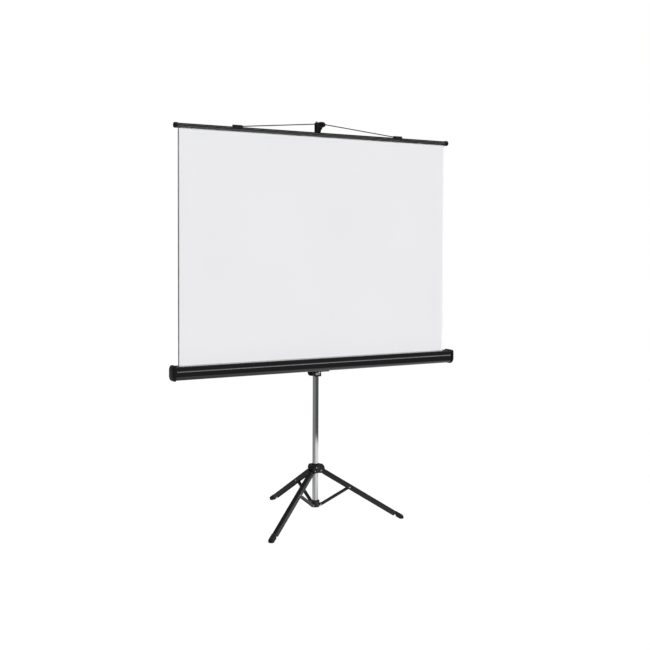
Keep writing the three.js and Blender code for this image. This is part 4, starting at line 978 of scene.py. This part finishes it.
def cloth_piece():
    """Hanging cloth: a flat grid with a faint slow wave across it that dies away at the slot and the bar, and
    side edges that curl back a little."""
    low, high = span("screen_fabric")
    width, thickness, height = (float(side) for side in high - low)
    middle = (low[1] + high[1]) / 2
    u, v = np.meshgrid(np.linspace(0.0, 1.0, 181), np.linspace(0.0, 1.0, 121))
    calm = np.sin(math.pi * v) ** CLOTH_CALM
    wave = sum(share * np.sin(halves * math.pi * u + lean * v + start)
               for share, halves, lean, start in CLOTH_WAVES)
    curl = np.maximum(0.0, np.abs(u - 0.5) * 2 - (1 - CURL_SHARE)) / CURL_SHARE
    y = middle + calm * (bpy.context.scene.screen_cloth.waviness * wave + CLOTH_CURL * curl ** 2)
    surface = grid(low[0] + u * width, y, low[2] + v * height), quads(*u.shape)
    obj = new_object("screen_fabric_fine", surface, outward=False)
    obj.data.shade_smooth()
    uv = obj.data.uv_layers.new(name="cloth")
    corner = np.empty(len(obj.data.loops), np.int32)
    obj.data.loops.foreach_get("vertex_index", corner)
    flat = np.stack([u.ravel(), v.ravel()], axis=1).astype(np.float32)
    uv.data.foreach_set("uv", flat[corner].ravel())
    settle(wall(obj, thickness, offset=0.0), "screen_fabric", cloth_finish(), "screen")
    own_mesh(obj)
    return obj


def bar_piece():
    """Round bar with a slot below for the hem and a fine groove along its front: an open circle carried along
    x, whose radius dips in a V at the groove, with its sheet thickness inwards."""
    low, high = span("top_bar")
    centre, radius = middle_of("top_bar"), half_of("top_bar")[1]
    half_slot = math.asin(BAR_SLOT / radius)
    groove, half_groove = math.pi + BAR_GROOVE, BAR_GROOVE_HALF / radius
    dips = groove + half_groove * np.array([-1.0, 0.0, 1.0])
    angle = np.sort(np.append(np.linspace(half_slot - QUARTER, 3 * QUARTER - half_slot, 90), dips))
    skin_radius = radius - BAR_GROOVE_DEPTH * np.clip(1.0 - np.abs(angle - groove) / half_groove, 0.0, 1.0)
    y, z = centre[1] + skin_radius * np.cos(angle), centre[2] + skin_radius * np.sin(angle)
    obj = pressed("top_bar", swept(np.linspace(low[0], high[0], 24), y, z), gloss_paint())
    return flat_panels(shade(obj, math.radians(20)))


def knob_piece(side):
    """End knob: a plug in the bar, a lip and a full-round crown, turned about the bar's axis."""
    node, sense = f"bar_knob_{side}", SIDES[side]
    bar_end = end_of("top_bar", sense)
    radius, end = half_of(node)[2], abs(end_of(node, sense) - bar_end)
    inner, depth = KNOB_PLUG
    outline = [(0.0, -depth), (inner, -depth), (inner, GAP), (radius, GAP), (radius, end), (0.0, end)]
    profile = softened(outline, KNOB_ROUNDS, steps=8, closed=False)
    return make(node, turned(profile, (bar_end, *middle_of(node)[1:]), (sense, 0, 0), 64), moulding())


def wire_piece():
    """Hanging wire with its dark coat: a circle carried level through the clips and straight up to the hook,
    with easy bends."""
    low, high = span("hanging_wire")
    clip = end_of("wire_clip_right", -1)
    radius, y = half_of("hanging_wire")[1], middle_of("hanging_wire")[1]
    bottom, top = low[2] + radius, high[2] - radius
    turning = [(low[0], bottom), (-clip, bottom), (0.0, top), (clip, bottom), (high[0], bottom)]
    x, z = softened(turning, [0, CLIP_BEND, HOOK_BEND, CLIP_BEND, 0], steps=12, closed=False).T
    length = np.concatenate([[0.0], np.cumsum(np.hypot(np.diff(x), np.diff(z)))])
    even = np.linspace(0.0, length[-1], WIRE_POINTS)
    path = np.stack([np.interp(even, length, x), np.full(WIRE_POINTS, y), np.interp(even, length, z)], axis=1)
    return make("hanging_wire", tube_along(path, radius + WIRE_COAT), wire_finish())


def hanger_cap_piece():
    """Domed button on top of the hook: a quarter ellipse turned about an upright axis."""
    low, high = span("hanger_cap")
    radius, bottom, height = half_of("hanger_cap")[0], low[2], high[2] - low[2]
    profile = np.concatenate([[(0.0, bottom), (radius, bottom)], domed(radius, height, bottom, 14)])
    return round_piece("hanger_cap", profile, steel(), 48)


def lock_plate_piece():
    """Lock plate whose tab leans back towards the column, further the lower it hangs."""
    obj = eased("lock_plate", zinc())
    points = np.empty((len(obj.data.vertices), 3), np.float32)
    obj.data.vertices.foreach_get("co", points.ravel())
    bend = points[:, 2].max() - LOCK_PLATE
    points[:, 1] += TAB_LEAN * np.clip((bend - points[:, 2]) / (bend - points[:, 2].min()), 0.0, 1.0)
    obj.data.vertices.foreach_set("co", points.ravel())
    obj.data.update()
    return obj


def carrier_screw_piece(side):
    """Screw along y that holds the case on its carrier."""
    node = f"carrier_screw_{side}"
    low, high = span(node)
    x, _, z = middle_of(node)
    return screw(node, (x, 0.0, z), Y_AXIS, (low[1], high[1]), *CARRIER_SCREW)


# Studio


def floor_surface():
    """Square grid of the floor on z = 0."""
    side = np.linspace(-FLOOR_HALF, FLOOR_HALF, 3)
    return grid(side, side[:, None], 0.0), quads(3, 3)


def floor_finish():
    """Pale floor. To the camera it is white with faint shadows; to the object it is a bright sheet near by,
    brighter on the camera's right, that gives way to a dim room."""
    settings = bpy.context.scene.screen_studio
    material, tree, shader = blank_material("Pale floor")
    fit(tree, shader, Base_Color=tuple(settings.floor), Roughness=0.9, Specular_IOR_Level=0.0,
        Emission_Color=WHITE, Emission_Strength=settings.floor_glow)
    place = object_place(tree)
    level = add(tree, "ShaderNodeMapping", Vector=place, Rotation=(0.0, 0.0, settings.yaw)).outputs["Vector"]
    sideways = add(tree, "ShaderNodeSeparateXYZ", Vector=level).outputs["X"]
    away = add(tree, "ShaderNodeVectorMath", operation="LENGTH", Vector=place).outputs["Value"]
    near = ranged(tree, away, settings.sheet_radius, 1.25 * settings.sheet_radius, 1.0, 0.0)
    across = ranged(tree, sideways, -0.5, 0.5)
    dim, bright = mix_colour(tree, across, *FLOOR_FAR), mix_colour(tree, across, *FLOOR_NEAR)
    mirrored = mix_colour(tree, near, dim, bright)
    matt = add(tree, "ShaderNodeLightPath").outputs["Is Diffuse Ray"]
    glow = add(tree, "ShaderNodeEmission", Color=mix_colour(tree, matt, mirrored, FLOOR_BOUNCE))
    for_camera(tree, shader.outputs[0], glow.outputs[0], "Material Output")
    return material


def set_world(scene):
    """White behind the object for the camera, and a dim grey room, lighter overhead, for everything else."""
    settings = scene.screen_studio
    scene.world = bpy.data.worlds.new("Studio")
    scene.world.use_nodes = True
    tree = scene.world.node_tree
    direction = add(tree, "ShaderNodeTexCoord").outputs["Generated"]
    height = add(tree, "ShaderNodeSeparateXYZ", Vector=direction).outputs["Z"]
    share = ranged(tree, height, -0.1, 0.9)
    colour = mix_colour(tree, share, tuple(settings.room_low), tuple(settings.room_high))
    room = fit(tree, tree.nodes["Background"], Color=colour)
    white = add(tree, "ShaderNodeBackground", Color=WHITE)
    for_camera(tree, white.outputs[0], room.outputs[0], "World Output")


def aimed_light(name, kind, place, target, **values):
    """Light at a place, turned to its target with its long side level."""
    obj = linked(name, setup(bpy.data.lights.new(name, kind), **values))
    obj.location = place
    obj.rotation_euler = (Vector(target) - Vector(place)).to_track_quat("-Z", "Y").to_euler()
    return obj


def key_light(strength):
    """Broad soft light so far off that it is even over the whole cloth. It lights matt surfaces only, so that
    polished ones keep the dark of the room."""
    light = aimed_light("key_light", "SUN", KEY_FROM, (0.0, 0.0, 0.0), energy=strength, angle=KEY_SPREAD)
    light.visible_glossy = False


def strip_light(power):
    """Long narrow light over the camera's right, seen only as a gleam along polished edges."""
    length, width = STRIP_SIZE
    light = aimed_light("strip_light", "AREA", STRIP_FROM, STRIP_TO, energy=power, shape="RECTANGLE",
                        size=length, size_y=width)
    light.visible_diffuse = False


def set_camera(scene, plane):
    """Camera at the photograph's angle: its eye is given from the cloth's plane, then it turns."""
    settings = scene.screen_studio
    cos, sin = math.cos, math.sin
    yaw, pitch, roll = settings.yaw, settings.pitch, settings.roll
    ahead = Vector((sin(yaw) * cos(pitch), cos(yaw) * cos(pitch), sin(pitch)))
    level = Vector((cos(yaw), -sin(yaw), 0.0))
    upright = level.cross(ahead)
    right = level * cos(roll) + upright * sin(roll)
    up = upright * cos(roll) - level * sin(roll)
    data = bpy.data.cameras.new("camera")
    setup(data, sensor_width=36.0, lens=settings.lens, shift_y=settings.rise, clip_end=200.0)
    obj = linked("camera", data)
    turn = Matrix((right, up, -ahead)).transposed().to_4x4()
    obj.matrix_world = Matrix.Translation(Vector(settings.eye) + Vector((0.0, plane, 0.0))) @ turn
    scene.camera = obj


# Operators


class SCREEN_OT_stand(bpy.types.Operator):
    """Column with its collars, clamp and lower rivets"""

    bl_idname = "screen.stand"
    bl_label = "Stand"

    def execute(self, context):
        tube_piece("column_tube", half_of("column_tube")[0] - COLUMN_WALL, chrome(), TUBE_EDGE)
        column_collar_piece()
        clamp_knob_piece()
        pin("clamp_screw", CLAMP_STUD)
        eased("lower_collar", moulding())
        for number in LEGS:
            collar_pin, _, _, axes = linkage(number)
            rivet(f"collar_rivet_{number}", collar_pin, axes["strut"][1])
        return {"FINISHED"}


class SCREEN_OT_legs(bpy.types.Operator):
    """Channel legs with their feet, struts and rivets"""

    bl_idname = "screen.legs"
    bl_label = "Legs"

    def execute(self, context):
        for number in LEGS:
            leg_piece(number)
            strut_piece(number)
            foot_piece(number)
            _, strut_pin, _, axes = linkage(number)
            rivet(f"strut_rivet_{number}", strut_pin, axes["leg"][1])
        return {"FINISHED"}


class SCREEN_OT_hub(bpy.types.Operator):
    """Sliding hub with its rivets and screw"""

    bl_idname = "screen.hub"
    bl_label = "Hub"

    def execute(self, context):
        eased("leg_hub", moulding())
        for number in LEGS:
            _, _, hub_pin, axes = linkage(number)
            rivet(f"hub_rivet_{number}", hub_pin, axes["leg"][1])
        hub_screw_piece()
        return {"FINISHED"}


class SCREEN_OT_case(bpy.types.Operator):
    """Case with its end caps"""

    bl_idname = "screen.case"
    bl_label = "Case"

    def execute(self, context):
        case_piece()
        for side in SIDES:
            cap_piece(side)
        return {"FINISHED"}


class SCREEN_OT_roller(bpy.types.Operator):
    """Spring roller inside the case"""

    bl_idname = "screen.roller"
    bl_label = "Roller"

    def execute(self, context):
        roll_piece()
        for node in ("roller_tube", "roller_spring", "spring_arbor", "roller_gudgeon"):
            eased(node, steel())
        for side in SIDES:
            eased(f"roller_plug_{side}", moulding())
        return {"FINISHED"}


class SCREEN_OT_cloth(bpy.types.Operator):
    """Cloth between the case and the bar"""

    bl_idname = "screen.cloth"
    bl_label = "Cloth"

    def execute(self, context):
        cloth_piece()
        return {"FINISHED"}


class SCREEN_OT_bar(bpy.types.Operator):
    """Top bar with its knobs, clips, hem cord and wire"""

    bl_idname = "screen.bar"
    bl_label = "Bar"

    def execute(self, context):
        bar_piece()
        for side in SIDES:
            knob_piece(side)
            eased(f"wire_clip_{side}", moulding())
        eased("fabric_spline", nylon())
        wire_piece()
        return {"FINISHED"}


class SCREEN_OT_lift(bpy.types.Operator):
    """Extension rod with its bush, hook and button"""

    bl_idname = "screen.lift"
    bl_label = "Lift"

    def execute(self, context):
        tube_piece("extension_rod", half_of("extension_rod")[0] - ROD_WALL, chrome(), TUBE_EDGE)
        tube_piece("rod_bush", ROD_BORE, nylon(), BUSH_EDGE)
        eased("hanger_hook", moulding())
        hanger_cap_piece()
        return {"FINISHED"}


class SCREEN_OT_carrier(bpy.types.Operator):
    """Carrier of the case with its bush, screws and height lock"""

    bl_idname = "screen.carrier"
    bl_label = "Carrier"

    def execute(self, context):
        eased("case_carrier", moulding())
        eased("carrier_bush", moulding())
        lock_plate_piece()
        eased("height_lever", moulding())
        for side in SIDES:
            carrier_screw_piece(side)
        pin("lever_pin", LEVER_PIN)
        return {"FINISHED"}


class SCREEN_OT_stage(bpy.types.Operator):
    """Pale floor, soft light and the camera"""

    bl_idname = "screen.stage"
    bl_label = "Stage"

    def execute(self, context):
        scene = context.scene
        scene.view_settings.view_transform = "Standard"
        set_camera(scene, middle_of("screen_fabric")[1])
        floor = new_object("floor", floor_surface(), outward=False)
        floor.data.materials.append(floor_finish())
        set_world(scene)
        key_light(scene.screen_studio.key)
        strip_light(scene.screen_studio.strip)
        return {"FINISHED"}


class SCREEN_PT_panel(bpy.types.Panel):
    """Sizes, colours and the steps that build the screen"""

    bl_idname = "SCREEN_PT_panel"
    bl_label = "Projection screen"
    bl_space_type = "VIEW_3D"
    bl_region_type = "UI"
    bl_category = "Screen"

    def draw(self, context):
        for group in GROUPS:
            settings = getattr(context.scene, group)
            column = self.layout.column()
            for name in settings.__annotations__:
                column.prop(settings, name)
        for step in STEPS:
            self.layout.operator(step.bl_idname)


STEPS = (SCREEN_OT_stand, SCREEN_OT_legs, SCREEN_OT_hub, SCREEN_OT_case, SCREEN_OT_roller, SCREEN_OT_cloth,
         SCREEN_OT_bar, SCREEN_OT_lift, SCREEN_OT_carrier, SCREEN_OT_stage)
GROUPS = {"screen_cloth": ClothSettings, "screen_finish": FinishSettings, "screen_studio": StudioSettings}


def register():
    """Adds the settings, the operators and the panel."""
    for kind in (*GROUPS.values(), *STEPS, SCREEN_PT_panel):
        bpy.utils.register_class(kind)
    for name, kind in GROUPS.items():
        setattr(bpy.types.Scene, name, PointerProperty(type=kind))


def unregister():
    """Takes them away again."""
    for name in GROUPS:
        delattr(bpy.types.Scene, name)
    for kind in (SCREEN_PT_panel, *reversed(STEPS), *GROUPS.values()):
        bpy.utils.unregister_class(kind)


def main():
    """Builds every group through its operator."""
    register()
    for step in STEPS:
        group, name = step.bl_idname.split(".")
        getattr(getattr(bpy.ops, group), name)()


if __name__ == "__main__":
    main()
